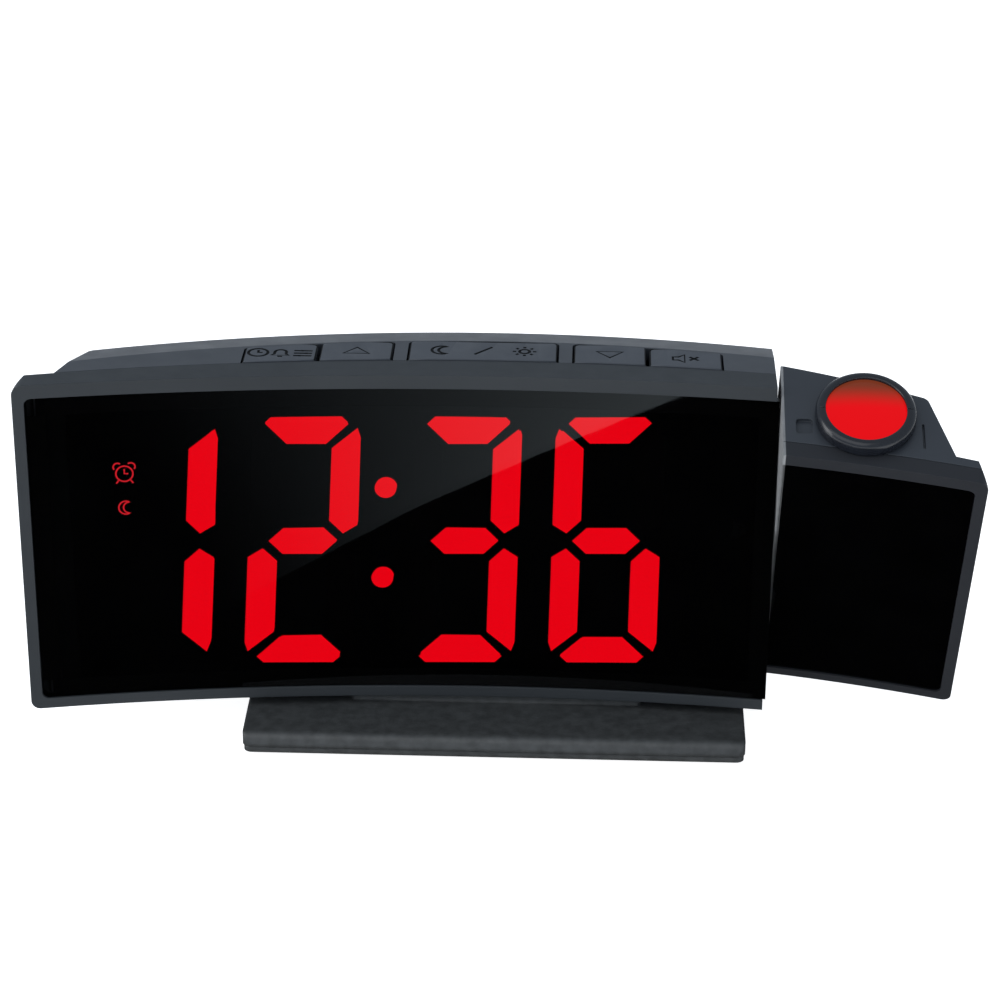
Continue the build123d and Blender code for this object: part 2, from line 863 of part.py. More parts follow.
def key_switches():
    """Push switches on the key board, each with a well that takes the stem of its key."""
    bottom = switch_top - stem_engagement - key_travel - switch_bottom_gap
    switches = []
    for span in key_spans():
        body = bar_z(key_middle(span), switch_width, key_board_top, switch_top)
        well = bar_z(key_middle(span), stem_width + 2 * switch_well_fit, bottom, switch_top + past)
        switches.append(body - well)
    return switches


def screw_up(place, under, radius, head_radius, head_height, length):
    """Upright screw put in from below, its head under the height given."""
    head = rod_z(place, head_radius, under - head_height, under)
    return head + rod_z(place, radius, under, under + length)


def key_board_screws():
    under = key_board_top - board_thickness
    length = board_thickness + key_screw_bite - screw_fit
    return [
        screw_up(place, under, key_screw_radius, key_screw_head, key_screw_head_height, length)
        for place in key_post_places()]


# ------------------------------------------------------------------ inside the back of the body
def speaker():
    """Small round loudspeaker: frame, square magnet and a dished cone towards the slots."""
    x, z = speaker_place
    rim = speaker_back()
    body = rod_y(x, z, speaker_radius, rim - speaker_depth / 2, rim)
    magnet = bar_y(x, z, speaker_radius, rim - speaker_depth, rim)
    dish_depth = speaker_depth / 3
    dish = Cone(cone_radius, speaker_radius - speaker_ring, dish_depth, rotation=(-90, 0, 0))
    return body + magnet - Pos(x, rim - dish_depth / 2, z) * dish


def battery_door():
    """Lift-off cover in the curve of the back, with a finger notch and a collar behind it."""
    x, z = bay_place
    size = door_size - 2 * door_fit
    plate = door_outline(size) & door_layer(0, door_thickness)
    notch = rod_y(x, z + size / 2, door_notch_radius, arc_y(BACK, x) - door_notch_depth, deep)
    collar_size = size - 2 * door_ledge
    collar = bar_y(x, z, collar_size, 0, deep) - bar_y(x, z, collar_size - 2 * door_tongue, 0, deep)
    return plate - notch + (collar & door_layer(door_thickness / 2, door_thickness + door_lining))


def cell_holder():
    """Cup on the display board that takes the coin cell, open at the top for a finger."""
    x, z = bay_place
    rim = cell_front + cell_thickness
    floor = board_back + holder_floor
    cup = rod_y(x, z, cell_radius + cell_fit + holder_wall, board_back, rim)
    cup -= rod_y(x, z, cell_radius + cell_fit, floor, rim + past)
    half = cell_radius / 2
    return cup - block(x - half, x + half, floor, rim + past, z + half, z + 2 * cell_radius)


def coin_cell():
    x, z = bay_place
    return rod_y(x, z, cell_radius, cell_front, cell_front + cell_thickness)


def cell_contact():
    """Metal strip on the floor of the holder, under the cell."""
    x, z = bay_place
    floor = board_back + holder_floor
    return block(
        x - cell_radius, x + cell_radius / 2, floor, floor + contact_thickness,
        z - contact_width / 2, z + contact_width / 2)


def inlet_seat():
    """Y where the body of the power inlet meets the nearer side of the curved back."""
    x = inlet_place[0]
    return min(inner_back(x - inlet_width / 2), inner_back(x + inlet_width / 2))


def power_inlet():
    """Round power socket with a centre pin, seated against the inside of the back."""
    x, z = inlet_place
    half = inlet_width / 2
    seat = inlet_seat()
    mouth = arc_y(BACK, x) - inlet_rim
    body = block(x - half, x + half, seat - inlet_depth, seat, z - half, z + half)
    body += rod_y(x, z, inlet_bore_radius + inlet_rim, seat - past, mouth)
    body -= rod_y(x, z, inlet_bore_radius, mouth - inlet_bore_depth, mouth + past)
    return body + rod_y(x, z, inlet_pin_radius, mouth - inlet_bore_depth - past, mouth - inlet_rim)


def inlet_hole():
    x, z = inlet_place
    return rod_y(x, z, inlet_bore_radius + inlet_rim + inlet_fit, inlet_seat(), deep)


def rear_screw(x, row):
    """Screw put in from the back: its head in the counterbore, its end in the front post."""
    z = post_height(row)
    under = arc_y(BACK, x) - counterbore_depth
    head = rod_y(x, z, screw_head_radius, under, under + screw_head_height)
    return head + rod_y(x, z, screw_radius, post_joint(x) - screw_bite + screw_fit, under)


# ------------------------------------------------------------------ pivot
def pivot_shaft():
    """Hollow shaft: spigot in the pod, flange in the gap, bearing in the body, ring groove."""
    flange_left = body_end + flange_air
    solid = rod_x(shaft_flange_radius, flange_left, pod_start)
    solid += rod_x(shaft_radius, shaft_left, flange_left)
    solid += rod_x(spigot_radius, pod_start, pod_start + spigot_length)
    groove = rod_x(shaft_radius + past, ring_left, ring_left + ring_thickness)
    groove -= rod_x(shaft_radius - ring_depth, ring_left, ring_left + ring_thickness)
    return solid - groove - rod_x(shaft_bore, shaft_left - past, pod_start + spigot_length + past)


def friction_washer():
    """Flat washer that bears on the hub of the body."""
    right = washer_left + washer_thickness
    return rod_x(washer_radius, washer_left, right) - rod_x(shaft_radius + shaft_fit, washer_left, right)


def spring_washer():
    """Conical spring washer, wide side against the friction washer."""
    inner = shaft_radius + shaft_fit
    narrow = cone_right - cone_rise
    profile = Polyline(
        (cone_right, washer_radius), (cone_right - cone_thickness, washer_radius),
        (narrow - cone_thickness, inner), (narrow, inner), close=True)
    plane = Plane(origin=(0, pivot_y, pivot_z), x_dir=(1, 0, 0), z_dir=(0, 0, 1))
    return revolve(plane * make_face(profile), axis=Axis((0, pivot_y, pivot_z), (1, 0, 0)))


def retaining_ring():
    """Open ring that snaps into the groove of the shaft."""
    right = ring_left + ring_thickness
    ring = rod_x(ring_radius, ring_left, right) - rod_x(shaft_radius - ring_depth, ring_left, right)
    return ring - block(ring_left, right, pivot_y, deep, pivot_z - ring_mouth, pivot_z + ring_mouth)


# ------------------------------------------------------------------ pod
def pod_frame():
    """Thin face ring of the pod, open towards the body, with its screw posts."""
    left, right = pod_start, half_width
    ring = envelope(left, right, False, True)
    ring &= curved_slab(FACE, behind(FACE, ledge_back), left, right, 0, body_height)
    ring -= face_opening(
        left - past, right - bezel_side + panel_fit, panel_low - panel_fit, panel_high + panel_fit,
        0, panel_corner, -past, panel_back)
    ring -= face_opening(
        left - past, right - pod_step - wall, window_low, window_high, 0, panel_corner,
        panel_recess, deep)
    start = panel_back + ledge_thickness / 2
    for x, row in pod_screw_places:
        post, bore = front_post(x, row, start, behind(FACE, ledge_back))
        ring = ring + post - bore
    return ring


def pod_panel():
    return panel(pod_start, half_width - bezel_side, 0, panel_corner)


def pod_outside():
    """Outside of the pod's shell: full width as far as the seam, then stepped in and sloped."""
    near = behind(FACE, ledge_back + seam_gap)
    front = envelope(pod_start, half_width, False, True)
    front &= curved_slab(near, behind(SEAM, past), pod_start, half_width, 0, body_height)
    step = half_width - pod_step
    rear = rear_slab(behind(SEAM, -seam_gap), pod_start, (step, step - ramp_run))
    return front + crowned(rear, False)


def pod_shell():
    """Back, deck and ends of the pod, with the hub, the lens hole and the screw bosses."""
    step = half_width - pod_step - wall
    pocket_x = split_x + pocket_offset[0]
    slit_x = half_width - slit_offset[0]
    shell = pod_outside()
    shell -= curved_slab(FACE, SEAM, pod_start + wall, step, roof, ceiling)
    shell -= curved_slab(
        SEAM, behind(BACK, -wall), pod_start + wall, (step, step - ramp_run), roof, ceiling)
    end = curved_slab(
        behind(FACE, panel_back + mask_gap), behind(FACE, ledge_back + past), pod_start,
        pod_start + wall, window_low + panel_fit, window_high - panel_fit)
    shell = shell + end + rod_x(shaft_flange_radius, pod_start, pod_start + spigot_length)
    inside = curved_slab(
        behind(FACE, ledge_back + seam_gap), behind(BACK, -wall / 2), pod_start,
        (step + wall / 2, step + wall / 2 - ramp_run), roof / 2, body_height - roof / 2)
    holes = [rod_x(spigot_radius, pod_start - past, pod_start + spigot_length + past)]
    for x, row in pod_screw_places:
        boss, hole = shell_boss(x, row)
        shell += boss & inside
        holes.append(hole)
    relief_low = ceiling - nut_height - nut_relief
    holes.append(rod_z(lens_place, nut_radius + nut_relief, relief_low, ceiling))
    holes.append(rod_z(lens_place, barrel_radius + neck_fit, ceiling - past, body_height + past))
    pocket = Pos(pocket_x, pocket_offset[1]) * RectangleRounded(pocket_width, pocket_length, pocket_corner)
    slit = Pos(slit_x, slit_offset[1]) * Rectangle(slit_width, slit_length)
    for mark in (pocket, slit):
        holes.append(Pos(0, 0, body_height - pocket_depth) * extrude(mark, amount=pocket_depth + past))
    for hole in holes:
        shell -= hole
    return shell


# ------------------------------------------------------------------ projector
def lens(radius, low, edge, crown):
    """Lens on the optical axis: flat below, bevelled towards the middle above."""
    top = low + edge + crown
    profile = Polyline(
        (0, low), (radius, low), (radius, low + edge), (radius - lens_bevel, top), (0, top), close=True)
    return Pos(*lens_place) * revolve(Plane.XZ * make_face(profile), axis=Axis.Z)


def lug_bar(low, high):
    """Cross bar that carries the two screws at the foot of the barrel."""
    x, y = lens_place
    return block(x - lug_reach, x + lug_reach, y - lug_width / 2, y + lug_width / 2, low, high)


def lug_spots():
    x, y = lens_place
    return [(x + side * (lug_reach - lug_screw_inset), y) for side in (-1, 1)]


def projector_barrel():
    """Tube through the deck: its neck stands on the deck, its lugs carry the lamp board."""
    tube = rod_z(lens_place, barrel_radius, barrel_foot, body_height)
    neck = rod_z(lens_place, neck_radius, body_height, body_height + neck_height)
    barrel = tube + neck + lug_bar(barrel_foot, barrel_foot + lug_height)
    barrel -= rod_z(lens_place, barrel_bore, barrel_foot - past, body_height + neck_height + past)
    for spot in lug_spots():
        barrel -= rod_z(spot, key_screw_radius, barrel_foot - past, barrel_foot + lug_screw_bite)
    return barrel


def barrel_nut():
    """Slotted ring that clamps the barrel to the underside of the deck."""
    x, y = lens_place
    ring = rod_z(lens_place, nut_radius, ceiling - nut_height, ceiling)
    ring -= rod_z(lens_place, barrel_radius, ceiling - 2 * nut_height, body_height)
    slots = block(
        x - focus_radius, x + focus_radius, y - nut_slot / 2, y + nut_slot / 2,
        ceiling - 2 * nut_height, ceiling - nut_height / 2)
    return ring - slots


def focus_ring():
    """Turning ring round the neck, with a seat for the front lens and two marks on top."""
    x, y = lens_place
    top = body_height + focus_top
    ring = rod_z(lens_place, focus_radius, body_height + focus_air, top)
    ring = chamfer(ring.edges().sort_by(Axis.Z)[-1], focus_bevel)
    ring -= rod_z(lens_place, neck_radius + neck_fit, body_height, top + past)
    ring -= rod_z(lens_place, lens_radius + lens_fit, lens_floor, top + past)
    mark = block(
        x - focus_radius, x + focus_radius, y - focus_mark_width / 2, y + focus_mark_width / 2,
        top - focus_mark_depth, top + past)
    return ring - mark


def front_lens():
    return lens(lens_radius, lens_floor, lens_edge, lens_crown)


def relay_lens():
    return lens(barrel_bore - lens_fit, body_height - relay_drop, relay_edge, relay_crown)


def condenser_lens():
    return lens(barrel_bore - lens_fit, body_height - condenser_drop, condenser_edge, condenser_crown)


def slide_carrier():
    """Round plate in the barrel with a square window that holds the slide."""
    x, y = lens_place
    low = body_height - slide_drop - carrier_thickness
    half = slide_size / 2 + slide_fit
    plate = rod_z(lens_place, barrel_bore - lens_fit, low, body_height - slide_drop)
    return plate - block(x - half, x + half, y - half, y + half, low - past, body_height)


def lcd_slide():
    """Small square display that is projected."""
    x, y = lens_place
    half = slide_size / 2
    top = body_height - slide_drop
    return block(x - half, x + half, y - half, y + half, top - slide_thickness, top)


def lamp_board():
    """Round board with two tabs, screwed to the foot of the barrel."""
    low = barrel_foot - board_thickness
    board = rod_z(lens_place, barrel_radius, low, barrel_foot) + lug_bar(low, barrel_foot)
    for spot in lug_spots():
        board -= rod_z(spot, key_screw_radius + screw_fit, low - past, barrel_foot + past)
    return board


def projector_led():
    return rod_z(lens_place, led_radius, barrel_foot, barrel_foot + led_height)


def lamp_screws():
    under = barrel_foot - board_thickness
    length = board_thickness + lug_screw_bite - screw_fit
    return [
        screw_up(spot, under, key_screw_radius, key_screw_head, key_screw_head_height, length)
        for spot in lug_spots()]


# ------------------------------------------------------------------ stand
def stand_outline(inset):
    """Plan of the stand as a tall prism."""
    sheet = Pos(0, (stand_back - stand_front) / 2) * RectangleRounded(
        stand_width - 2 * inset, stand_depth - 2 * inset, stand_corner - inset)
    return Pos(0, 0, -deep) * extrude(sheet, amount=2 * deep)


def side_profile(points, half):
    """A profile of depth and height, run across the clock to both sides of the middle."""
    return extrude(Plane.YZ * make_face(Polyline(*points, close=True)), amount=half, both=True)


def deck_height(y):
    """Top of the stand's deck, which rises towards the back."""
    start = lip_lean - stand_front
    return lip_top + deck_rise * (y - start) / (stand_back - start)


def stand_cover():
    """Top of the stand: leaning front lip, rising deck and the neck that carries the body."""
    front = lip_lean - stand_front
    plate = side_profile(
        [(-stand_front, tray_top), (front, lip_top), (stand_back, deck_height(stand_back)),
         (stand_back, tray_top)], stand_width / 2)
    ridge = plate.edges().filter_by(Axis.X).filter_by(lambda edge: abs(edge.center().Z - lip_top) < seam_gap)
    plate = fillet(ridge.sort_by(Axis.Y)[0], lip_round) & stand_outline(0)
    neck = side_profile(
        [(neck_front - neck_slope, lip_top), (neck_front, 0), (neck_back, 0), (neck_back, lip_top)],
        neck_width / 2)
    neck = fillet(neck.edges().filter_by(Axis.Z), neck_corner)
    under_deck = block(
        cover_wall - stand_width / 2, stand_width / 2 - cover_wall, front + cover_wall,
        stand_back - cover_wall, stand_low, lip_top - cover_wall)
    in_neck = block(
        cover_wall - neck_width / 2, neck_width / 2 - cover_wall, neck_front + cover_wall,
        neck_back - cover_wall, stand_low, -cover_wall)
    cover = plate + neck - under_deck - in_neck
    for place in stand_screw_spots():
        cover += bar_z(place, boss_width, tray_top + tray_boss, -cover_wall / 2)
        cover -= rod_z(place, screw_radius + screw_fit, stand_low, past)
    return cover


def foot_places():
    """Centres of the four feet, the same distance in from each corner."""
    reach = stand_width / 2 - foot_inset
    return [(x, y) for x in (-reach, reach) for y in (foot_inset - stand_front, stand_back - foot_inset)]


def stand_tray():
    """Bottom plate with bosses for the screws."""
    tray = stand_outline(tray_inset) & block(
        -stand_width, stand_width, -deep, deep, stand_low, tray_top)
    for place in stand_screw_spots():
        tray += bar_z(place, boss_width, tray_top - tray_thickness / 2, tray_top + tray_boss)
        tray -= rod_z(place, screw_head_radius + screw_fit, stand_low - past, stand_head_seat())
        tray -= rod_z(place, screw_radius + screw_fit, stand_low, 0)
    return tray


def stand_head_seat():
    """Height that the heads of the stand screws bear against."""
    return tray_top + tray_boss - screw_radius


def rubber_feet():
    return [rod_z(place, foot_radius, stand_low - foot_thickness, stand_low) for place in foot_places()]


def stand_screws():
    seat = stand_head_seat()
    return [
        screw_up(place, seat, screw_radius, screw_head_radius, screw_head_height,
                 stand_screw_bite - screw_fit - seat)
        for place in stand_screw_spots()]


# ------------------------------------------------------------------ the clock
def body_pieces():
    """Pieces that stay level: the body of the clock and its stand."""
    key_names = ("key_mode", "key_up", "key_snooze", "key_down", "key_mute")
    pieces = {
        "front_frame": front_frame(),
        "front_panel": front_panel(),
        "back_shell": back_shell(),
        "display_block": display_block(),
        "segments_lit": light_pipes(lit_sheets()),
        "segments_unlit": light_pipes(unlit_sheets()),
        "indicator_lights": light_pipes(indicator_sheets()),
        "display_board": display_board(),
        "display_lamps": display_lamps(),
        "key_board": key_board(),
        "key_switches": key_switches(),
        "key_board_screws": key_board_screws(),
        "speaker": speaker(),
        "battery_door": battery_door(),
        "cell_holder": cell_holder(),
        "coin_cell": coin_cell(),
        "cell_contact": cell_contact(),
        "power_inlet": power_inlet(),
        "case_screws": [rear_screw(x, row) for x, row in case_screw_places],
        "stand_cover": stand_cover(),
        "stand_tray": stand_tray(),
        "rubber_feet": rubber_feet(),
        "stand_screws": stand_screws(),
    }
    for name, span in zip(key_names, key_spans()):
        pieces[name] = key_cap(span)
    return pieces


def pod_pieces():
    """Pieces that turn with the pod, drawn level."""
    return {
        "pivot_shaft": pivot_shaft(),
        "friction_washer": friction_washer(),
        "spring_washer": spring_washer(),
        "retaining_ring": retaining_ring(),
        "pod_frame": pod_frame(),
        "pod_panel": pod_panel(),
        "pod_shell": pod_shell(),
        "pod_screws": [rear_screw(x, row) for x, row in pod_screw_places],
        "projector_barrel": projector_barrel(),
        "barrel_nut": barrel_nut(),
        "focus_ring": focus_ring(),
        "front_lens": front_lens(),
        "relay_lens": relay_lens(),
        "slide_carrier": slide_carrier(),
        "lcd_slide": lcd_slide(),
        "condenser_lens": condenser_lens(),
        "projector_led": projector_led(),
        "lamp_board": lamp_board(),
        "lamp_screws": lamp_screws(),
    }


def write_clock():
    """Turns the pod to its rest angle, puts the clock on the table and writes every piece."""
    axis = Axis((0, pivot_y, pivot_z), (1, 0, 0))
    placed = {name: Compound(solids_of(piece)) for name, piece in body_pieces().items()}
    for name, piece in pod_pieces().items():
        placed[name] = Compound(solids_of(piece)).rotate(axis, pod_tilt)
    box = Compound(list(placed.values())).bounding_box()
    to_table = Pos(-(box.min.X + box.max.X) / 2, -(box.min.Y + box.max.Y) / 2, -box.min.Z)
    print("overall size", box.size, "moved by", to_table.position)
    os.makedirs("parts", exist_ok=True)
    for name, piece in placed.items():
        export_step(to_table * piece, f"parts/{name}.step")


def solids_of(piece):
    """The separate solids of a piece, or of a group of equal pieces."""
    group = piece if isinstance(piece, list) else [piece]
    return [solid for member in group for solid in member.solids()]


write_clock()
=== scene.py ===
"""Projection alarm clock, dressed for its portrait.

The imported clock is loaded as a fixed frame. Every operator dresses one group of its pieces, and
the panel in the sidebar lists the operators in the order in which they are run.
"""
import json
from math import asin, cos, degrees, pi, radians, sin, sqrt

import bmesh
import bpy
from bpy.props import FloatProperty, FloatVectorProperty, PointerProperty
from mathutils import Euler, Matrix, Vector
from mathutils.bvhtree import BVHTree

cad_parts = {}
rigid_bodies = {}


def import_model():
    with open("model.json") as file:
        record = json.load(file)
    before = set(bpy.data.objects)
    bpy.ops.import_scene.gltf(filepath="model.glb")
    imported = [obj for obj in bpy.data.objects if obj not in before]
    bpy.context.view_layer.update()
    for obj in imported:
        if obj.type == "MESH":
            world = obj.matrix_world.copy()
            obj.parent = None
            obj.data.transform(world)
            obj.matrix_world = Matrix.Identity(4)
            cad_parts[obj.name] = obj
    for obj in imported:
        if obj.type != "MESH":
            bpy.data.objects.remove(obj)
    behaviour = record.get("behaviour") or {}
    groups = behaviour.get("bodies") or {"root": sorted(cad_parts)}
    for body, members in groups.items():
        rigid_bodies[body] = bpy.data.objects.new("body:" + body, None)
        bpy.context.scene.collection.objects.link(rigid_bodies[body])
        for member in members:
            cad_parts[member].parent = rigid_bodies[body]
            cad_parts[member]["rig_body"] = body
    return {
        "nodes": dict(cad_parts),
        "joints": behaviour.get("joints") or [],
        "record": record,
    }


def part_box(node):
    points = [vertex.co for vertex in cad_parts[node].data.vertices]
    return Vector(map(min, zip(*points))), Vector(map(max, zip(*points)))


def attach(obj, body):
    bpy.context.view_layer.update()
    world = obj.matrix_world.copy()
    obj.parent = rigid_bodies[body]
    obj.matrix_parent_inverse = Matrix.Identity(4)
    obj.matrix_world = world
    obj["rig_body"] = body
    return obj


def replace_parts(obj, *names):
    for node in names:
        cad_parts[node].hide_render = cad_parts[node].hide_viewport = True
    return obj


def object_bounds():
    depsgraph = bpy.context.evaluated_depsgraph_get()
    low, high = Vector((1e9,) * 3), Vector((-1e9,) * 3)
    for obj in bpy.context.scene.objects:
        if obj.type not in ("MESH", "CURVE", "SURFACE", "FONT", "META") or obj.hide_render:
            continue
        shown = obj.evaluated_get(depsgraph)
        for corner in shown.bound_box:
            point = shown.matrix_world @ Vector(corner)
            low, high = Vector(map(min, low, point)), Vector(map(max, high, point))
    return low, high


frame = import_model()
cad_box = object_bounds()

bl_info = {
    "name": "Projection alarm clock",
    "version": (1, 0, 0),
    "blender": (4, 5, 0),
    "location": "View3D > Sidebar > Clock",
    "description": "Dresses the packed projection alarm clock and sets its studio",
    "category": "Object",
}

MM = 0.001
MERGE = 0.002 * MM               # corners nearer than this are one
FLAT = radians(0.3)              # faces that turn less than this are one
SMOOTH = radians(32)             # edges that turn more than this stay sharp
CLEARANCE = 0.02 * MM            # a printed or glued piece to what carries it

NOISE_RANGE = (0.3, 0.7)         # nearly all values of a noise lie in here
# Convex edges are made lighter: on most pieces as wear, on the two bezels also as a painted
# highlight where light catches them.
WEAR_AND_HIGHLIGHT_TURN = (0.98, 0.8)          # cosine of an edge's turn where wear starts and where it is full
WEAR_AND_HIGHLIGHT_GAIN = 3.0                       # a worn edge is this much lighter
LENS_SHADE_REACH = 0.85          # share of the lens radius over which its light fades

# The line round a key is a groove painted dark: a painted shadow of the gap between the key and its
# slot.
GAP_SHADOW_SIDE = 0.02              # mm from the sides of a key to the line round it
GAP_SHADOW_FAR = 0.36               # mm from its far edge
GAP_SHADOW_CORNER = 1.2             # mm
BORDER_STEPS = 40                # faces along the curve of the printed border
RING_SPIN = 96                   # steps of the ring's spin
LENS_SPIN = 72                   # steps of the lens's spin
LENS_RINGS = 15                  # rings of the lens dome, evenly spaced in angle
LENS_FIT = 0.05 * MM             # lens to its ring
RING_SEAT = 0.77 * MM            # ledge of the ring under the lens
LIP_GAP = 0.15 * MM              # lip of the ring over the straight edge of the lens
ABOVE = 1.0 * MM                 # how far a cutting bar stands above the ring
HEAD_ROUND = 0.45 * MM           # rounding of a screw head
SLOT_LENGTH = 2.6 * MM           # cross slot of a screw

# How far a point of the digits is moved, in mm. Across counts from the middle of the digits in
# spans, above counts from their middle in halves of their height.
SPAN, HALF_HEIGHT = 20 * MM, 26 * MM
MOVE_LEFT, UPRIGHT = 0.18, 0.34              # each point, and times across and above
LOWER, TILT, BEND = -0.235, 0.06, 0.195      # each point, times across, and times its square
STRETCH, DROP = 0.16, -0.26                  # times above, and times its square

# Studio, in metres
FLOOR_REACH = 6                  # to each side
BLACK_HEIGHT = 0.5 * MM          # black card over the floor
BLACK_REACH = 0.16               # to each side
BLACK_UNDER = 0.04               # under the clock
BLACK_BEFORE = 0.30              # before it
SHEET_HEIGHT = 1.0 * MM          # pale sheet over the floor
SHEET_BEFORE = 0.2               # before the clock
SHEET_COLOUR = (0.80, 0.93, 1.0)
SHEEN_EDGE = ((-78.0, 17.5), (-16.2, 52.4), (41.0, 80.7))    # mm across and up the panel
SHEEN_STEPS = 6                  # points along each part of that edge
CHORD = 50 * MM                  # the panel's curve is measured from its middle to here
SHEEN_FADE = (-0.057, 0.0135)    # X where the sheet is dark and where it is at its full strength
SHEEN_POWER = 2.0
FRONT_LAMP = {"size": (1.2, 0.9), "place": (-0.35, -0.75, 1.0), "aim": (0, 0.02, 0.03)}
SIDE_LAMP = {"size": (0.5, 0.8), "place": (-1.0, -0.25, 0.5), "aim": (0, 0, 0.04)}

SHELLS = ("back_shell", "pod_shell", "battery_door")
STAND = ("stand_cover", "stand_tray")
SCREWS = ("case_screws", "pod_screws", "stand_screws")
INSIDE_POD = ("projector_barrel", "barrel_nut", "relay_lens", "slide_carrier", "lcd_slide",
              "condenser_lens", "projector_led", "lamp_board", "lamp_screws", "pivot_shaft",
              "friction_washer", "spring_washer", "retaining_ring")
INSIDE_BODY = ("display_board", "display_lamps", "key_board", "key_switches", "key_board_screws",
               "speaker", "cell_holder", "coin_cell", "cell_contact", "power_inlet", "rubber_feet")


# ---------------- sizes and colours
def length(name, description, default):
    return FloatProperty(
        name=name, description=description, default=default, unit="LENGTH", precision=5)


def colour(name, description, default):
    return FloatVectorProperty(
        name=name, description=description, default=default, subtype="COLOR", size=3, min=0, max=1)


def number(name, description, default):
    return FloatProperty(name=name, description=description, default=default)


def share(name, description, default):
    return FloatProperty(
        name=name, description=description, default=default, subtype="FACTOR", min=0, max=1)


class ClockShapes(bpy.types.PropertyGroup):
    """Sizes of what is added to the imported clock."""
    edge_round: length("Moulded edges", "Rounding of the mouldings' edges", 0.22 * MM)
    stand_round: length("Stand edges", "Rounding of the stand's edges", 1.2 * MM)
    key_round: length("Key edges", "Rounding of the top edge of a key", 0.2 * MM)
    groove: length("Engraving", "Radius of the lines engraved in the keys", 0.27 * MM)
    # The line round a key stands for the shadow in its gap: a painted shadow.
    outline: length("Key outline", "Radius of the line round a key", 0.26 * MM)
    symbol_scale: number("Symbols", "Size of the key symbols", 1.2)
    icon_line: length("Icon lines", "Radius of the lines of the display's icons", 0.17 * MM)
    digits_middle: length("Middle of the digits", "X of the middle of the digits", -20.0 * MM)
    digits_proud: length("Digits before the block", "How far they stand before it", 0.05 * MM)
    film: length("Printed film", "Thickness of what is printed on a panel", 0.05 * MM)
    film_depth: length("Print depth", "The black border's distance from the panel's back", 1.8 * MM)
    border: length("Panel border", "Width of the black border of the panel", 4.0 * MM)
    ring_round: length("Focus ring rim", "Rounding of the outer edge of the focus ring", 1.5 * MM)
    ring_edge: length("Focus ring edges", "Rounding of its other edges", 0.3 * MM)
    ring_lip: length("Focus ring lip", "How far the ring reaches over the lens", 0.25 * MM)
    pad: length("Friction pad", "Thickness of the pad between the body and the pod", 0.55 * MM)
    mark_width: length("Focus marks", "Width of the two marks of the focus ring", 0.3 * MM)
    mark_depth: length("Focus mark depth", "Depth of the two marks", 0.22 * MM)
    recess_width: length("Screw slots", "Width of the cross slots of the screws", 0.6 * MM)
    recess_depth: length("Screw slot depth", "Depth of the cross slots", 0.8 * MM)


class ClockColours(bpy.types.PropertyGroup):
    """Colours and surfaces of the clock."""
    shell: colour("Shell", "Moulding of the back and the pod", (0.034, 0.040, 0.050))
    bezel: colour("Bezel", "Moulding of the body's front frame", (0.036, 0.041, 0.046))
    # The bezel's own moulding made darker for the pod's front frame: painted shade.
    pod_frame_shaded_tone: colour("Pod bezel", "Moulding of the pod's front frame", (0.023, 0.025, 0.030))
    stand: colour("Stand", "Moulding of the stand", (0.049, 0.052, 0.053))
    key: colour("Keys", "Key caps", (0.056, 0.064, 0.078))
    # Painted shade: the bottoms of the engraved symbols and of the line round each key are painted
    # this dark.
    painted_groove_shade: colour("Engraving", "Bottom of the engraved symbols", (0.003, 0.004, 0.005))
    ring: colour("Focus ring", "Ring round the lens", (0.010, 0.012, 0.017))
    panel: colour("Panel", "Tinted front panels", (0.0006, 0.0006, 0.0007))
    panel_tint: share("Panel tint", "How much light each face of a panel stops", 0.7)
    mask: colour("Mask", "Light block behind the panel", (0.0012, 0.0012, 0.0012))
    glow: colour("Lit digits", "Light of the digits", (0.791, 0.0005, 0.006))
    icon_glow: colour("Lit icons", "Light of the two icons", (0.52, 0.012, 0.02))
    unlit: colour("Unlit strokes", "Light pipes that stay dark", (0.012, 0.001, 0.001))
    pad: colour("Friction pad", "Felt pad on the left end of the pod", (0.24, 0.245, 0.25))
    lens: colour("Lens", "Red lens of the projector", (0.74, 0.002, 0.005))
    lens_shade: colour("Lens shade", "The lens far from its lamp", (0.14, 0.034, 0.014))
    grain: length("Grain", "Size of the fine grain of the mouldings", 0.28 * MM)
    grain_height: length("Grain height", "Height of the fine grain", 0.006 * MM)


class ClockStudio(bpy.types.PropertyGroup):
    """Camera, floor and light."""
    camera_place: FloatVectorProperty(
        name="Camera place", description="Where the camera stands",
        subtype="TRANSLATION", unit="LENGTH", default=(0.01815, -0.58396, 0.32604))
    camera_turn: FloatVectorProperty(
        name="Camera turn", description="Rotation of the camera", subtype="EULER", unit="ROTATION",
        default=[radians(turn) for turn in (64.78928, -0.374525, 1.917824)])
    focal_length: number("Focal length", "Lens of the camera in mm", 109.62)
    sky: number("Sky", "Strength of the even light all round", 0.50)
    sky_colour: colour("Sky colour", "Colour of the even light", (0.78, 0.88, 1.0))
    backdrop: number("Backdrop", "Brightness of the backdrop", 1.0)
    floor: colour("Floor", "Pale floor", (0.93, 0.93, 0.93))
    floor_light: number("Floor light", "Light that comes up through the floor", 0.9)
    front: number("Front light", "Power of the large soft light in W", 3.2)
    side: number("Side light", "Power of the soft light from the left in W", 4.0)
    sheen: number("Sheen", "Strength of the sheet that the panel mirrors", 1.16)


# ---------------- finishes
def linked(tree, kind, **values):
    """A new node of a material, with its plain properties and inputs set by name."""
    node = tree.nodes.new(kind)
    for name, value in values.items():
        if name in node.bl_rna.properties:
            setattr(node, name, value)
        else:
            node.inputs[name.replace("_", " ")].default_value = value
    return node


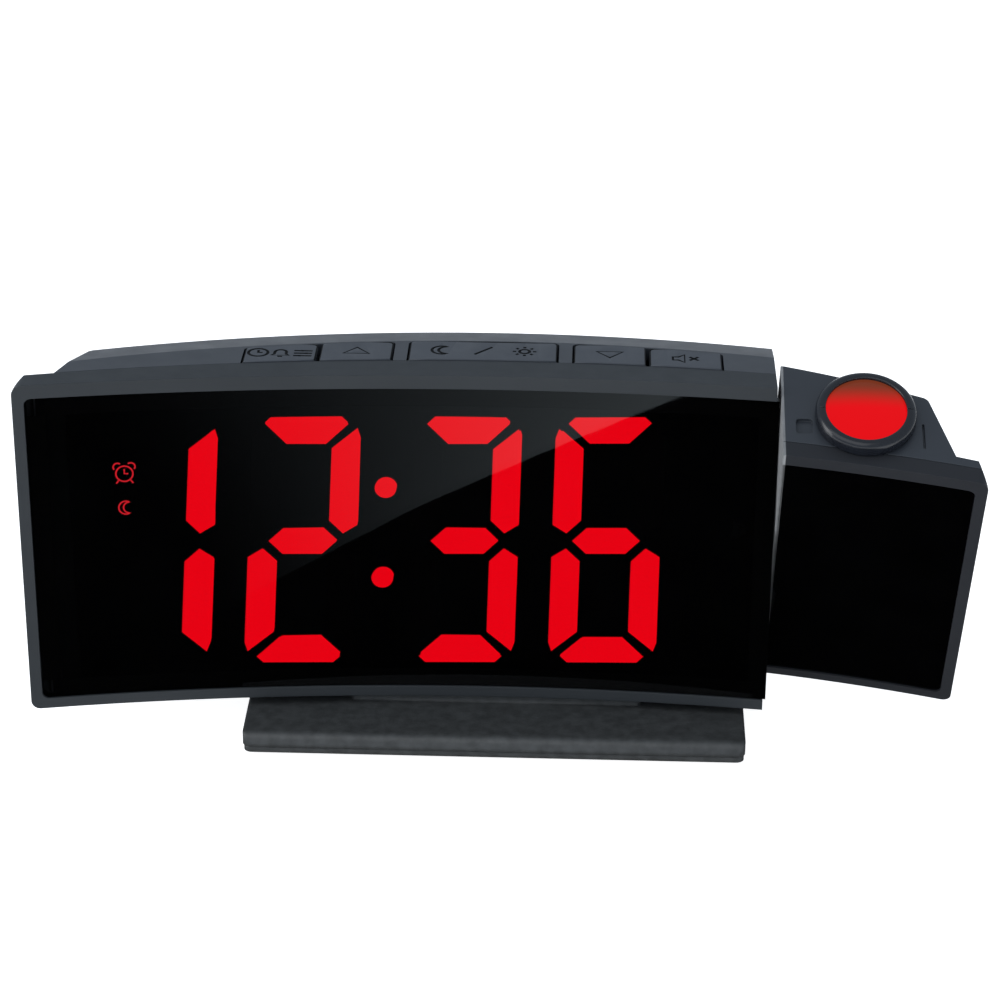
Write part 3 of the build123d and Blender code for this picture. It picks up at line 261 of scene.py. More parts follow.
def noise(tree, size, detail=2.0, stretch=(1, 1, 1)):
    """Noise whose features have a real size, fixed to the piece."""
    place = linked(tree, "ShaderNodeTexCoord")
    turned = linked(tree, "ShaderNodeMapping", Scale=[1 / (size * axis) for axis in stretch])
    made = linked(tree, "ShaderNodeTexNoise", Scale=1.0, Detail=detail)
    tree.links.new(place.outputs["Object"], turned.inputs["Vector"])
    tree.links.new(turned.outputs["Vector"], made.inputs["Vector"])
    return made.outputs["Fac"]


def spread(tree, source, low, high):
    """A noise value mapped to a range."""
    made = linked(tree, "ShaderNodeMapRange", From_Min=NOISE_RANGE[0], From_Max=NOISE_RANGE[1],
                  To_Min=low, To_Max=high)
    tree.links.new(source, made.inputs["Value"])
    return made.outputs["Result"]


def blended(tree, factor, first, second):
    """Two colours mixed by a factor."""
    made = linked(tree, "ShaderNodeMix", data_type="RGBA")
    tree.links.new(factor, made.inputs["Factor"])
    first_colour, second_colour = [socket for socket in made.inputs if socket.type == "RGBA"]
    for socket, value in ((first_colour, first), (second_colour, second)):
        if hasattr(value, "links"):
            tree.links.new(value, socket)
        else:
            socket.default_value = (*value, 1)
    return next(socket for socket in made.outputs if socket.type == "RGBA")


def scaled(rgb, factor):
    """A colour made lighter or darker."""
    return [min(1.0, channel * factor) for channel in rgb]


def fresh(name):
    """A new material, its node tree and its shader."""
    made = bpy.data.materials.new(name)
    made.use_nodes = True
    return made, made.node_tree, made.node_tree.nodes["Principled BSDF"]


def surface(name, rgb, roughness, mottle=0.10, mottle_size=9 * MM, rough_spread=0.05,
            grain=0.3 * MM, grain_height=0.004 * MM, edge=0.25 * MM, edge_wear_and_highlight=0.0, stretch=(1, 1, 1),
            **sockets):
    """A finish with mottled colour, uneven gloss, fine grain and soft, slightly lighter edges:
    wear, and on the bezels a painted highlight.

    The sockets are further inputs of the shader, by name. A finish is made once and shared."""
    made = bpy.data.materials.get(name)
    if made:
        return made
    made, tree, shader = fresh(name)
    for socket, value in sockets.items():
        shader.inputs[socket.replace("_", " ")].default_value = value
    cloud = spread(tree, noise(tree, mottle_size, 4.0), 0, 1)
    tone = blended(tree, cloud, scaled(rgb, 1 - mottle), scaled(rgb, 1 + mottle))
    bevel = linked(tree, "ShaderNodeBevel", samples=6, Radius=edge)
    # Convex edges painted lighter: wear, and on the bezels a painted highlight.
    if edge_wear_and_highlight:
        flat = linked(tree, "ShaderNodeNewGeometry")
        dot = linked(tree, "ShaderNodeVectorMath", operation="DOT_PRODUCT")
        tree.links.new(bevel.outputs["Normal"], dot.inputs[0])
        tree.links.new(flat.outputs["True Normal"], dot.inputs[1])
        rim = linked(tree, "ShaderNodeMapRange", From_Min=WEAR_AND_HIGHLIGHT_TURN[0], From_Max=WEAR_AND_HIGHLIGHT_TURN[1],
                     To_Min=0.0, To_Max=edge_wear_and_highlight)
        tree.links.new(dot.outputs["Value"], rim.inputs["Value"])
        tone = blended(tree, rim.outputs["Result"], tone, scaled(rgb, WEAR_AND_HIGHLIGHT_GAIN))
    tree.links.new(tone, shader.inputs["Base Color"])
    patches = noise(tree, mottle_size / 3, 3.0)
    gloss = spread(tree, patches, roughness - rough_spread, roughness + rough_spread)
    tree.links.new(gloss, shader.inputs["Roughness"])
    bump = linked(tree, "ShaderNodeBump", Strength=1.0, Distance=grain_height)
    tree.links.new(noise(tree, grain, 2.0, stretch), bump.inputs["Height"])
    tree.links.new(bevel.outputs["Normal"], bump.inputs["Normal"])
    tree.links.new(bump.outputs["Normal"], shader.inputs["Normal"])
    return made


def moulding(name, rgb, roughness, edge_wear_and_highlight, **sockets):
    """Spark-eroded plastic moulding."""
    colours = bpy.context.scene.clock_colours
    return surface(
        name, rgb, roughness, mottle=0.05, mottle_size=16 * MM, rough_spread=0.04,
        grain=colours.grain, grain_height=colours.grain_height,
        edge=bpy.context.scene.clock_shapes.edge_round, edge_wear_and_highlight=edge_wear_and_highlight, **sockets)


def bezel(name, rgb):
    """Moulding of a front frame, with bright edges: a painted highlight on top of wear."""
    # The 0.2 paints the frame's edges lighter than the other mouldings' edges: a painted highlight
    # on top of wear.
    return moulding(name, rgb, 0.50, 0.2, Specular_IOR_Level=0.25)


def coarse_moulding(name, rgb, roughness):
    """Moulding with a coarse, speckled grain and soft edges."""
    colours = bpy.context.scene.clock_colours
    return surface(
        name, rgb, roughness, mottle=0.25, mottle_size=2.2 * MM, rough_spread=0.08,
        grain=2 * colours.grain, grain_height=3 * colours.grain_height,
        edge=bpy.context.scene.clock_shapes.stand_round)


def polished(name, stopped):
    """Polished acrylic with faint haze and dust. Each face stops a share of the light."""
    colours = bpy.context.scene.clock_colours
    return surface(
        name, colours.panel, 0.016, mottle=0.3, rough_spread=0.01, grain=14 * MM,
        grain_height=0.001 * MM, edge=0.02 * MM, Alpha=stopped, IOR=1.49)


def glowing(name, rgb):
    """Light pipe: its light is even, and its surface has the haze of a diffuser."""
    return surface(
        name, scaled(rgb, 0.25), 0.5, mottle=0.15, mottle_size=3 * MM, grain=0.15 * MM,
        Specular_IOR_Level=0.0, Emission_Color=(*rgb, 1), Emission_Strength=lit_strength())


def metal(name, rgb, roughness, stretch=(1, 1, 1)):
    """Plain or brushed metal."""
    return surface(
        name, rgb, roughness, mottle=0.08, rough_spread=0.08, grain=0.1 * MM,
        grain_height=0.002 * MM, edge=0.1 * MM, edge_wear_and_highlight=0.1, stretch=stretch, Metallic=1.0)


def clear_plastic(name, rgb, alpha):
    """Clear or milky plastic with a gloss."""
    return surface(name, rgb, 0.08, mottle=0.05, rough_spread=0.03, grain=5 * MM,
                   grain_height=0.001 * MM, edge=0.1 * MM, Alpha=alpha, Coat_Weight=0.5)


def finish_of(slot):
    """The finish of a material slot of the record."""
    colours = bpy.context.scene.clock_colours
    made = {
        "frame_plastic": lambda: bezel("bezel_moulding", colours.bezel),
        "shell_plastic": lambda: moulding("shell_moulding", colours.shell, 0.36, 0.1),
        "stand_plastic": lambda: coarse_moulding("stand_moulding", colours.stand, 0.38),
        "key_plastic": lambda: moulding("key_moulding", colours.key, 0.48, 0.1),
        "ring_plastic": lambda: surface(
            "ring_polish", colours.ring, 0.22, mottle=0.08, rough_spread=0.04, grain=2 * MM,
            grain_height=0.003 * MM, edge_wear_and_highlight=0.06),
        "panel_plastic": lambda: polished("tinted_panel", colours.panel_tint),
        "mask_plastic": lambda: surface("black_mask", colours.mask, 0.75, Specular_IOR_Level=0.1),
        "lit_plastic": lambda: glowing("lit_pipe", colours.glow),
        "unlit_plastic": lambda: surface(
            "unlit_pipe", colours.unlit, 0.6, mottle=0.2, Specular_IOR_Level=0.1),
        "indicator_plastic": lambda: glowing("icon_film", colours.icon_glow),
        "lens_red": lens_finish,
        "lens_clear": lambda: clear_plastic("clear_lens", (0.85, 0.88, 0.9), 0.35),
        "lamp": lambda: clear_plastic("lamp_epoxy", (0.72, 0.66, 0.5), 0.9),
        "board": lambda: surface(
            "solder_mask", (0.012, 0.06, 0.028), 0.3, mottle=0.35, mottle_size=2 * MM,
            Coat_Weight=0.4),
        "switch_plastic": lambda: surface("black_nylon", (0.018, 0.018, 0.02), 0.5, mottle=0.15),
        "screw_steel": lambda: metal("zinc_steel", (0.5, 0.5, 0.52), 0.3),
        "black_steel": lambda: metal("black_steel", (0.09, 0.09, 0.10), 0.35),
        "cell_steel": lambda: metal("bright_steel", (0.62, 0.62, 0.63), 0.22),
        "contact_metal": lambda: metal("sprung_brass", (0.65, 0.48, 0.2), 0.28, (1, 0.05, 1)),
        "speaker_frame": lambda: surface(
            "cone_paper", (0.02, 0.02, 0.022), 0.7, mottle=0.25, mottle_size=1 * MM),
        "foot_rubber": lambda: surface(
            "foot_rubber", (0.012, 0.012, 0.013), 0.8, mottle=0.2, edge_wear_and_highlight=0.08),
        "acetal": lambda: surface("acetal", (0.62, 0.61, 0.57), 0.38, mottle=0.04),
        "washer_plastic": lambda: surface(
            "fibre", (0.34, 0.26, 0.17), 0.65, mottle=0.25, mottle_size=2 * MM),
    }
    return made[slot]()


def lit_strength():
    """Light of a pipe that leaves the panel at the colour it was given: the panel has two faces."""
    return 1 / (1 - bpy.context.scene.clock_colours.panel_tint) ** 2


def lens_finish():
    """Red lens over its lamp: its light fades from the middle towards the back."""
    colours = bpy.context.scene.clock_colours
    made = bpy.data.materials.get("red_lens")
    if made:
        return made
    made = surface(
        "red_lens", scaled(colours.lens, 0.1), 0.14, mottle=0.05, rough_spread=0.03, grain=6 * MM,
        grain_height=0.002 * MM, Specular_IOR_Level=0.12, Emission_Strength=1.0)
    tree = made.node_tree
    place, turn = optical_axis()
    radius = local_size("front_lens")[0]
    coordinates = linked(tree, "ShaderNodeTexCoord")
    centred = linked(
        tree, "ShaderNodeMapping", vector_type="TEXTURE", Location=place, Rotation=turn)
    axes = linked(tree, "ShaderNodeSeparateXYZ")
    across = linked(
        tree, "ShaderNodeMapRange", From_Min=0.0, From_Max=LENS_SHADE_REACH * radius)
    across.interpolation_type = "SMOOTHSTEP"
    tree.links.new(coordinates.outputs["Object"], centred.inputs["Vector"])
    tree.links.new(centred.outputs["Vector"], axes.inputs["Vector"])
    tree.links.new(axes.outputs["Y"], across.inputs["Value"])
    light = blended(tree, across.outputs["Result"], colours.lens, colours.lens_shade)
    tree.links.new(light, tree.nodes["Principled BSDF"].inputs["Emission Color"])
    return made


# ---------------- reading the frame
def slot_of(node):
    """Material slot of a CAD node."""
    parts = frame["record"]["subparts"]
    return next(part["material_slot"] for part in parts if part["node"] == node)


def body_of(node):
    """Body that a CAD node rides on."""
    return frame["nodes"][node]["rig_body"]


def optical_axis():
    """Where the lens axis meets the pod's deck, and how the deck is turned."""
    joint = next(joint for joint in frame["joints"] if joint["name"] == "focus_turn")
    tilt = asin(-joint["axis"][1])
    return Vector(joint["pos_m"]), Euler((tilt, 0, 0))


def deck_matrix():
    """From the pod deck's own frame, with the lens axis upright, to the clock's frame."""
    place, turn = optical_axis()
    return Matrix.Translation(place) @ turn.to_matrix().to_4x4()


def local_size(node):
    """Radius, lowest and highest point of a node about the lens axis."""
    into = deck_matrix().inverted()
    points = [into @ vertex.co for vertex in frame["nodes"][node].data.vertices]
    radius = max(point.xy.length for point in points)
    return radius, min(point.z for point in points), max(point.z for point in points)


# ---------------- modelling
def copied(node):
    """A CAD node as a bmesh, with its corners merged and its flat faces made whole."""
    bm = bmesh.new()
    bm.from_mesh(frame["nodes"][node].data)
    bmesh.ops.remove_doubles(bm, verts=bm.verts, dist=MERGE)
    bmesh.ops.dissolve_limit(
        bm, angle_limit=FLAT, verts=bm.verts, edges=bm.edges, use_dissolve_boundaries=False)
    return bm


def rounded(bm, edges, width, segments=3):
    """Rounds a set of edges."""
    bmesh.ops.bevel(
        bm, geom=edges, offset=width, offset_type="OFFSET", segments=segments, profile=0.5,
        affect="EDGES", clamp_overlap=False, material=-1)


def solid_of(name, bm):
    """An object with the shape of a bmesh, not yet in the scene."""
    mesh = bpy.data.meshes.new(name)
    bm.to_mesh(mesh)
    bm.free()
    return bpy.data.objects.new(name, mesh)


def placed(name, bm, finish):
    """The bmesh as an object of the scene, with one finish."""
    made = solid_of(name, bm)
    bpy.context.scene.collection.objects.link(made)
    made.data.materials.append(finish)
    return made


def finished(name, bm, node, slot=None):
    """The bmesh as a piece that stands for a CAD node: it rides on the node's body."""
    bmesh.ops.triangulate(bm, faces=[face for face in bm.faces if len(face.verts) > 4])
    piece = placed(name, bm, finish_of(slot or slot_of(node)))
    shaded(piece)
    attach(piece, body_of(node))
    return piece


def shaded(piece):
    """Smooth faces apart from the sharp edges, with broad faces kept flat."""
    piece.data.polygons.foreach_set("use_smooth", [True] * len(piece.data.polygons))
    piece.data.set_sharp_from_angle(angle=SMOOTH)
    piece.modifiers.new("broad_faces", "WEIGHTED_NORMAL").keep_sharp = True


def evaluated(made):
    """The mesh of an object after its modifiers."""
    depsgraph = bpy.context.evaluated_depsgraph_get()
    return bpy.data.meshes.new_from_object(made.evaluated_get(depsgraph))


def cut(piece, tool, paint=None):
    """Cuts a tool out of a piece. The cut faces take the paint, where there is one: the painted
    shade in the grooves of the keys.
    """
    bpy.context.scene.collection.objects.link(tool)
    if paint:
        tool.data.materials.clear()
        tool.data.materials.append(paint)
        piece.data.materials.append(paint)
    piece.modifiers.clear()
    step = piece.modifiers.new("cut", "BOOLEAN")
    step.operation = "DIFFERENCE"
    step.object = tool
    step.solver = "EXACT"
    step.use_self = True
    step.material_mode = "TRANSFER" if paint else "INDEX"
    result = evaluated(piece)
    if not result.polygons:
        raise RuntimeError(f"nothing is left of {piece.name} after its cut")
    piece.modifiers.clear()
    piece.data = result
    shaded(piece)
    bpy.data.objects.remove(tool)


def lines(name, strokes, radius, place):
    """Thin round bars along flat strokes, set at a place."""
    curve = bpy.data.curves.new(name, "CURVE")
    curve.dimensions = "3D"
    curve.bevel_depth = radius
    curve.bevel_resolution = 2
    curve.use_fill_caps = True
    for points, closed in strokes:
        spline = curve.splines.new("POLY")
        spline.points.add(len(points) - 1)
        for point, (x, y) in zip(spline.points, points):
            point.co = (x * MM, y * MM, 0, 1)
        spline.use_cyclic_u = closed
    drawn = bpy.data.objects.new(name, curve)
    bpy.context.scene.collection.objects.link(drawn)
    mesh = evaluated(drawn)
    bpy.data.objects.remove(drawn)
    mesh.transform(place)
    return bpy.data.objects.new(name, mesh)


def bar(x_size, y_size, z_size, place):
    """A box with its middle at a place."""
    bm = bmesh.new()
    bmesh.ops.create_cube(bm, size=1, matrix=place @ Matrix.Diagonal((x_size, y_size, z_size, 1)))
    return solid_of("bar", bm)


def turned(profile, steps, closed=True):
    """A profile of radius and height, spun about the upright axis."""
    bm = bmesh.new()
    points = [bm.verts.new((radius, 0, height)) for radius, height in profile]
    ends = points[1:] + points[:1] if closed else points[1:]
    edges = [bm.edges.new(pair) for pair in zip(points, ends)]
    bmesh.ops.spin(
        bm, geom=points + edges, cent=(0, 0, 0), axis=(0, 0, 1), angle=2 * pi, steps=steps,
        use_merge=True)
    bmesh.ops.remove_doubles(bm, verts=bm.verts, dist=MERGE)
    bmesh.ops.recalc_face_normals(bm, faces=bm.faces)
    return bm


def ring_edges(bm, radius, height):
    """The edges of a spun shape on one circle."""
    def on_circle(vertex):
        return abs(vertex.co.xy.length - radius) < MERGE and abs(vertex.co.z - height) < MERGE
    return [edge for edge in bm.edges if all(on_circle(vertex) for vertex in edge.verts)]


def tree_of(node):
    """A CAD node that rays can be cast at."""
    return BVHTree.FromObject(frame["nodes"][node], bpy.context.evaluated_depsgraph_get())


def back_at(tree, x, z):
    """Where a ray from behind meets a panel, or None past its edge."""
    return tree.ray_cast(Vector((x, cad_box[1].y, z)), Vector((0, -1, 0)))[0]


def face_at(tree, x, z):
    """Where a ray from the front meets a panel."""
    return tree.ray_cast(Vector((x, -1, z)), Vector((0, 1, 0)))[0]


def lay_behind(bm, node, thickness, gap, depth=0):
    """Lays a shape along the back of a panel as a film. With a depth, it keeps its two sides."""
    tree = tree_of(node)
    for vertex in bm.verts[:]:
        hit = back_at(tree, vertex.co.x, vertex.co.z)
        if hit is None:
            bm.verts.remove(vertex)
            continue
        rise = (1 + vertex.co.y / depth) / 2 if depth else 0
        vertex.co.y = hit.y + gap + rise * thickness
    if depth == 0:
        bmesh.ops.recalc_face_normals(bm, faces=bm.faces)
        bmesh.ops.solidify(bm, geom=bm.faces[:], thickness=thickness)
        bmesh.ops.recalc_face_normals(bm, faces=bm.faces)


def dim(piece):
    """Keeps a piece's glow off its neighbours, as in bright light."""
    piece.visible_diffuse = False
    piece.visible_glossy = False


def islands(bm):
    """The separate solids of a bmesh, as lists of vertices."""
    left, found = dict.fromkeys(bm.verts), []
    while left:
        group = [left.popitem()[0]]
        for vertex in group:
            for edge in vertex.link_edges:
                near = edge.other_vert(vertex)
                if near in left:
                    del left[near]
                    group.append(near)
        found.append(group)
    return found


# ---------------- symbols
def arc(x, y, radius, start=0, end=360, steps=24):
    """Points of an arc between two angles in degrees. A full circle leaves out its last one."""
    count = steps if abs(end - start) >= 360 else steps + 1
    angles = [radians(start + (end - start) * step / steps) for step in range(count)]
    return [(x + radius * cos(angle), y + radius * sin(angle)) for angle in angles]


def line(*points):
    """An open stroke."""
    return points, False


def set_at(strokes, size, x=0, y=0):
    """Strokes of a symbol of size 1, brought to a size and a place in mm."""
    return [([(x + size * across, y + size * up) for across, up in points], closed)
            for points, closed in strokes]


def alarm_clock():
    """Round clock with two bells and two feet."""
    strokes = [*CLOCK_FACE]
    for side in (-1, 1):
        middle = 90 - side * 45
        strokes.append(line(*arc(side * 0.78, 0.9, 0.5, middle - 85, middle + 85, 8)))
        strokes.append(line((side * 0.7, -0.85), (side, -1.25)))
    return strokes


def triangle(tip):
    """Broad triangle that points up with a tip of 1 and down with -1."""
    return [([(-1.35, -0.7 * tip), (1.35, -0.7 * tip), (0, 0.9 * tip)], True)]


def crescent():
    """Two arcs that meet in points."""
    bite, shift = 0.85, 0.5
    meet = (shift ** 2 + 1 - bite ** 2) / (2 * shift)
    half = sqrt(1 - meet ** 2)
    outer, inner = degrees(asin(half)), degrees(asin(half / bite))
    back = arc(shift, 0, bite, 360 - inner, inner, 12)[1:-1]
    return [(arc(0, 0, 1, outer, 360 - outer, 16) + back, True)]


def outline(half, deep):
    """Path of the painted shadow line along the sides and the far edge of a key, with round
    corners. Its near edge stays plain.
    """
    corner = GAP_SHADOW_CORNER
    far = deep - GAP_SHADOW_FAR - corner
    return [(-half, -deep - 1), *arc(corner - half, far, corner, 180, 90, 6),
            *arc(half - corner, far, corner, 90, 0, 6), (half, -deep - 1)]


# Symbols of size 1. A stroke is its points and whether it is closed.
CLOCK_FACE = [(arc(0, 0, 1), True), line((0, 0.62), (0, 0), (0.45, 0))]
BELL = [
    ([*arc(0, 0.1, 0.6, 180, 0, 10),
      (0.6, -0.45), (0.9, -0.75), (-0.9, -0.75), (-0.6, -0.45)], True),
    line((-0.25, -1.05), (0.25, -1.05))]
SLIDERS = [stroke for row, knob in ((-0.7, -0.3), (0, 0.4), (0.7, -0.1)) for stroke in (
    line((-1, row), (1, row)), line((knob, row - 0.2), (knob, row + 0.2)))]
SUN = [(arc(0, 0, 0.5, steps=16), True),
       *(line(*ends) for ends in zip(arc(0, 0, 0.8, steps=8), arc(0, 0, 1.15, steps=8)))]
SPEAKER_OFF = [
    ([(-1.3, -0.4), (-0.75, -0.4), (-0.1, -1), (-0.1, 1), (-0.75, 0.4), (-1.3, 0.4)], True),
    *(line((0.4, -rise), (1.3, rise)) for rise in (-0.45, 0.45))]

# Strokes in mm from the middle of a key or an icon
SLASH = [line((-1.5, -1.7), (1.5, 1.7))]
KEY_SYMBOLS = {
    "key_mode": (
        set_at(CLOCK_FACE, 1.7, -3.9) + set_at(BELL, 1.7, 0, 0.2) + set_at(SLIDERS, 1.6, 3.9)),
    "key_up": set_at(triangle(1), 1.7),
    "key_snooze": set_at(crescent(), 1.8, -7.2) + SLASH + set_at(SUN, 1.8, 7.2),
    "key_down": set_at(triangle(-1), 1.7),
    "key_mute": set_at(SPEAKER_OFF, 1.7),
}
ALARM_ICON = set_at(alarm_clock(), 1.75)
NIGHT_ICON = set_at(crescent(), 1.5)


# ---------------- operators
class CLOCK_OT_studio(bpy.types.Operator):
    """Sets the camera, the pale floor, the even sky and the soft lights"""
    bl_idname = "clock.studio"
    bl_label = "Studio"

    def execute(self, context):
        scene = context.scene
        studio = scene.clock_studio
        scene.view_settings.view_transform = "Standard"
        lens = bpy.data.cameras.new("portrait")
        lens.lens = studio.focal_length
        lens.sensor_width = 36
        lens.clip_start = 0.01
        camera = bpy.data.objects.new("portrait", lens)
        camera.location = studio.camera_place
        camera.rotation_euler = studio.camera_turn
        scene.collection.objects.link(camera)
        scene.camera = camera
        self.sky(scene, studio)
        self.floor(studio)
        self.cards(studio)
        self.lamp("front", studio.front, **FRONT_LAMP)
        self.lamp("side", studio.side, **SIDE_LAMP)
        return {"FINISHED"}

    def sky(self, scene, studio):
        """Even light all round. The camera sees it as a white backdrop."""
        world = bpy.data.worlds.new("sky")
        world.use_nodes = True
        tree = world.node_tree
        ray = linked(tree, "ShaderNodeLightPath")
        seen = linked(tree, "ShaderNodeBackground", Strength=studio.backdrop)
        seen.inputs["Color"].default_value = (1, 1, 1, 1)
        either = linked(tree, "ShaderNodeMixShader")
        light = tree.nodes["Background"]
        light.inputs["Color"].default_value = (*studio.sky_colour, 1)
        light.inputs["Strength"].default_value = studio.sky
        tree.links.new(ray.outputs["Is Camera Ray"], either.inputs["Fac"])
        tree.links.new(light.outputs["Background"], either.inputs[1])
        tree.links.new(seen.outputs["Background"], either.inputs[2])
        tree.links.new(either.outputs["Shader"], tree.nodes["World Output"].inputs["Surface"])
        scene.world = world

    def floor(self, studio):
        """Pale floor that gives a little light of its own."""
        bm = bmesh.new()
        bmesh.ops.create_grid(bm, x_segments=2, y_segments=2, size=FLOOR_REACH)
        floor = placed("floor", bm, surface(
            "floor_paint", studio.floor, 0.9, mottle=0.01, mottle_size=0.4, rough_spread=0.02,
            grain_height=0.0, Specular_IOR_Level=0.0, Emission_Color=(1, 1, 1, 1),
            Emission_Strength=studio.floor_light))

    def mirrored(self, studio, x, z):
        """The point of the sheet that the camera sees mirrored in the panel's round face."""
        tree = tree_of("front_panel")
        low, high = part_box("front_panel")
        middle, side = (face_at(tree, place, (low.z + high.z) / 2).y for place in (0, CHORD))
        sag = abs(middle - side)
        radius = (CHORD ** 2 + sag ** 2) / (2 * sag)
        centre = Vector((0, middle - radius, z))
        point = centre + Vector((x, sqrt(radius ** 2 - x ** 2), 0))
        seen = (point - Vector(studio.camera_place)).normalized()
        away = seen.reflect((centre - point).normalized())
        return point + away * ((SHEET_HEIGHT - z) / away.z)

    def cards(self, studio):
        """A black card and a pale sheet that only mirrors see, on the floor before the clock."""
        low, high = cad_box
        left = (low.x + high.x) / 2 - BLACK_REACH
        right = left + 2 * BLACK_REACH
        near, far = low.y - BLACK_BEFORE, low.y + BLACK_UNDER
        self.card("black_card", self.black(), BLACK_HEIGHT,
                  [(left, far), (right, far), (right, near), (left, near)])
        edge = []
        for start, end in zip(SHEEN_EDGE, SHEEN_EDGE[1:]):
            for step in range(SHEEN_STEPS):
                x, z = (a + (b - a) * step / SHEEN_STEPS for a, b in zip(start, end))
                edge.append((x, z))
        edge = [self.mirrored(studio, x * MM, z * MM).xy for x, z in (*edge, SHEEN_EDGE[-1])]
        limit = low.y - SHEET_BEFORE
        self.card("pale_sheet", self.pale(studio), SHEET_HEIGHT,
                  [*edge, (edge[-1].x, limit), (edge[0].x, limit)])

    def black(self):
        """Black that mirrors nothing."""
        made, _, shader = fresh("black_card")
        shader.inputs["Base Color"].default_value = (0, 0, 0, 1)
        shader.inputs["Specular IOR Level"].default_value = 0
        return made

    def pale(self, studio):
        """Pale light that grows stronger to the right."""
        made, tree, shader = fresh("pale_sheet")
        tree.nodes.remove(shader)
        light = linked(tree, "ShaderNodeEmission", Color=(*SHEET_COLOUR, 1))
        place = linked(tree, "ShaderNodeTexCoord")
        axes = linked(tree, "ShaderNodeSeparateXYZ")
        fade = linked(tree, "ShaderNodeMapRange", From_Min=SHEEN_FADE[0], From_Max=SHEEN_FADE[1],
                      To_Min=0.0, To_Max=1.0)
        curve = linked(tree, "ShaderNodeMath", operation="POWER")
        curve.inputs[1].default_value = SHEEN_POWER
        scale = linked(tree, "ShaderNodeMath", operation="MULTIPLY")
        scale.inputs[1].default_value = studio.sheen
        tree.links.new(place.outputs["Object"], axes.inputs["Vector"])
        tree.links.new(axes.outputs["X"], fade.inputs["Value"])
        tree.links.new(fade.outputs["Result"], curve.inputs[0])
        tree.links.new(curve.outputs["Value"], scale.inputs[0])
        tree.links.new(scale.outputs["Value"], light.inputs["Strength"])
        tree.links.new(light.outputs["Emission"], tree.nodes["Material Output"].inputs["Surface"])
        return made

    def card(self, name, material, height, corners):
        """A flat card that only glossy surfaces see."""
        bm = bmesh.new()
        bm.faces.new([bm.verts.new((x, y, height)) for x, y in corners])
        bmesh.ops.recalc_face_normals(bm, faces=bm.faces)
        made = placed(name, bm, material)
        for ray in ("camera", "diffuse", "shadow", "transmission", "volume_scatter"):
            setattr(made, "visible_" + ray, False)

    def lamp(self, name, power, size, place, aim):
        """A large soft light that looks at a point."""
        light = bpy.data.lights.new(name, "AREA")
        light.shape = "RECTANGLE"
        light.size, light.size_y = size
        light.energy = power
        made = bpy.data.objects.new(name, light)
        made.location = place
        made.rotation_euler = (Vector(aim) - Vector(place)).to_track_quat("-Z", "Y").to_euler()
        made.visible_camera = False
        bpy.context.scene.collection.objects.link(made)


class CLOCK_OT_mouldings(bpy.types.Operator):
    """Gives the front frames, shells and stand moulded plastic"""
    bl_idname = "clock.mouldings"
    bl_label = "Mouldings"

    def execute(self, context):
        for node in ("front_frame", *SHELLS, *STAND):
            dress(node)
        # The pod's front frame takes a darker copy of the bezel moulding: painted shade.
        dress("pod_frame", bezel("pod_frame_shaded_moulding", context.scene.clock_colours.pod_frame_shaded_tone))
        return {"FINISHED"}


class CLOCK_OT_panels(bpy.types.Operator):
    """Gives the two curved panels polished acrylic, and the body's a black border on its back"""
    bl_idname = "clock.panels"
    bl_label = "Panels"

    def execute(self, context):
        dress("front_panel")
        dress("pod_panel", polished("black_panel", 1.0))
        shapes = context.scene.clock_shapes
        low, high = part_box("front_panel")
        window = [(low[axis] + shapes.border, high[axis] - shapes.border) for axis in (0, 2)]
        bm = bmesh.new()
        upright = Matrix.Translation((low + high) / 2) @ Matrix.Rotation(pi / 2, 4, "X")
        full = Matrix.Diagonal((high.x - low.x - shapes.film, high.z - low.z - shapes.film, 1, 1))
        bmesh.ops.create_grid(
            bm, x_segments=BORDER_STEPS, y_segments=1, size=0.5, matrix=upright @ full)
        for axis, ends in zip((Vector((1, 0, 0)), Vector((0, 0, 1))), window):
            for end in ends:
                everything = bm.verts[:] + bm.edges[:] + bm.faces[:]
                bmesh.ops.bisect_plane(bm, geom=everything, plane_co=axis * end, plane_no=axis)
        opening = [
            face for face in bm.faces if all(
                start < place < end
                for (start, end), place in zip(window, face.calc_center_median().xz))]
        bmesh.ops.delete(bm, geom=opening, context="FACES")
        lay_behind(bm, "front_panel", shapes.film, -shapes.film_depth)
        finished("panel_border", bm, "front_panel", "mask_plastic")
        return {"FINISHED"}


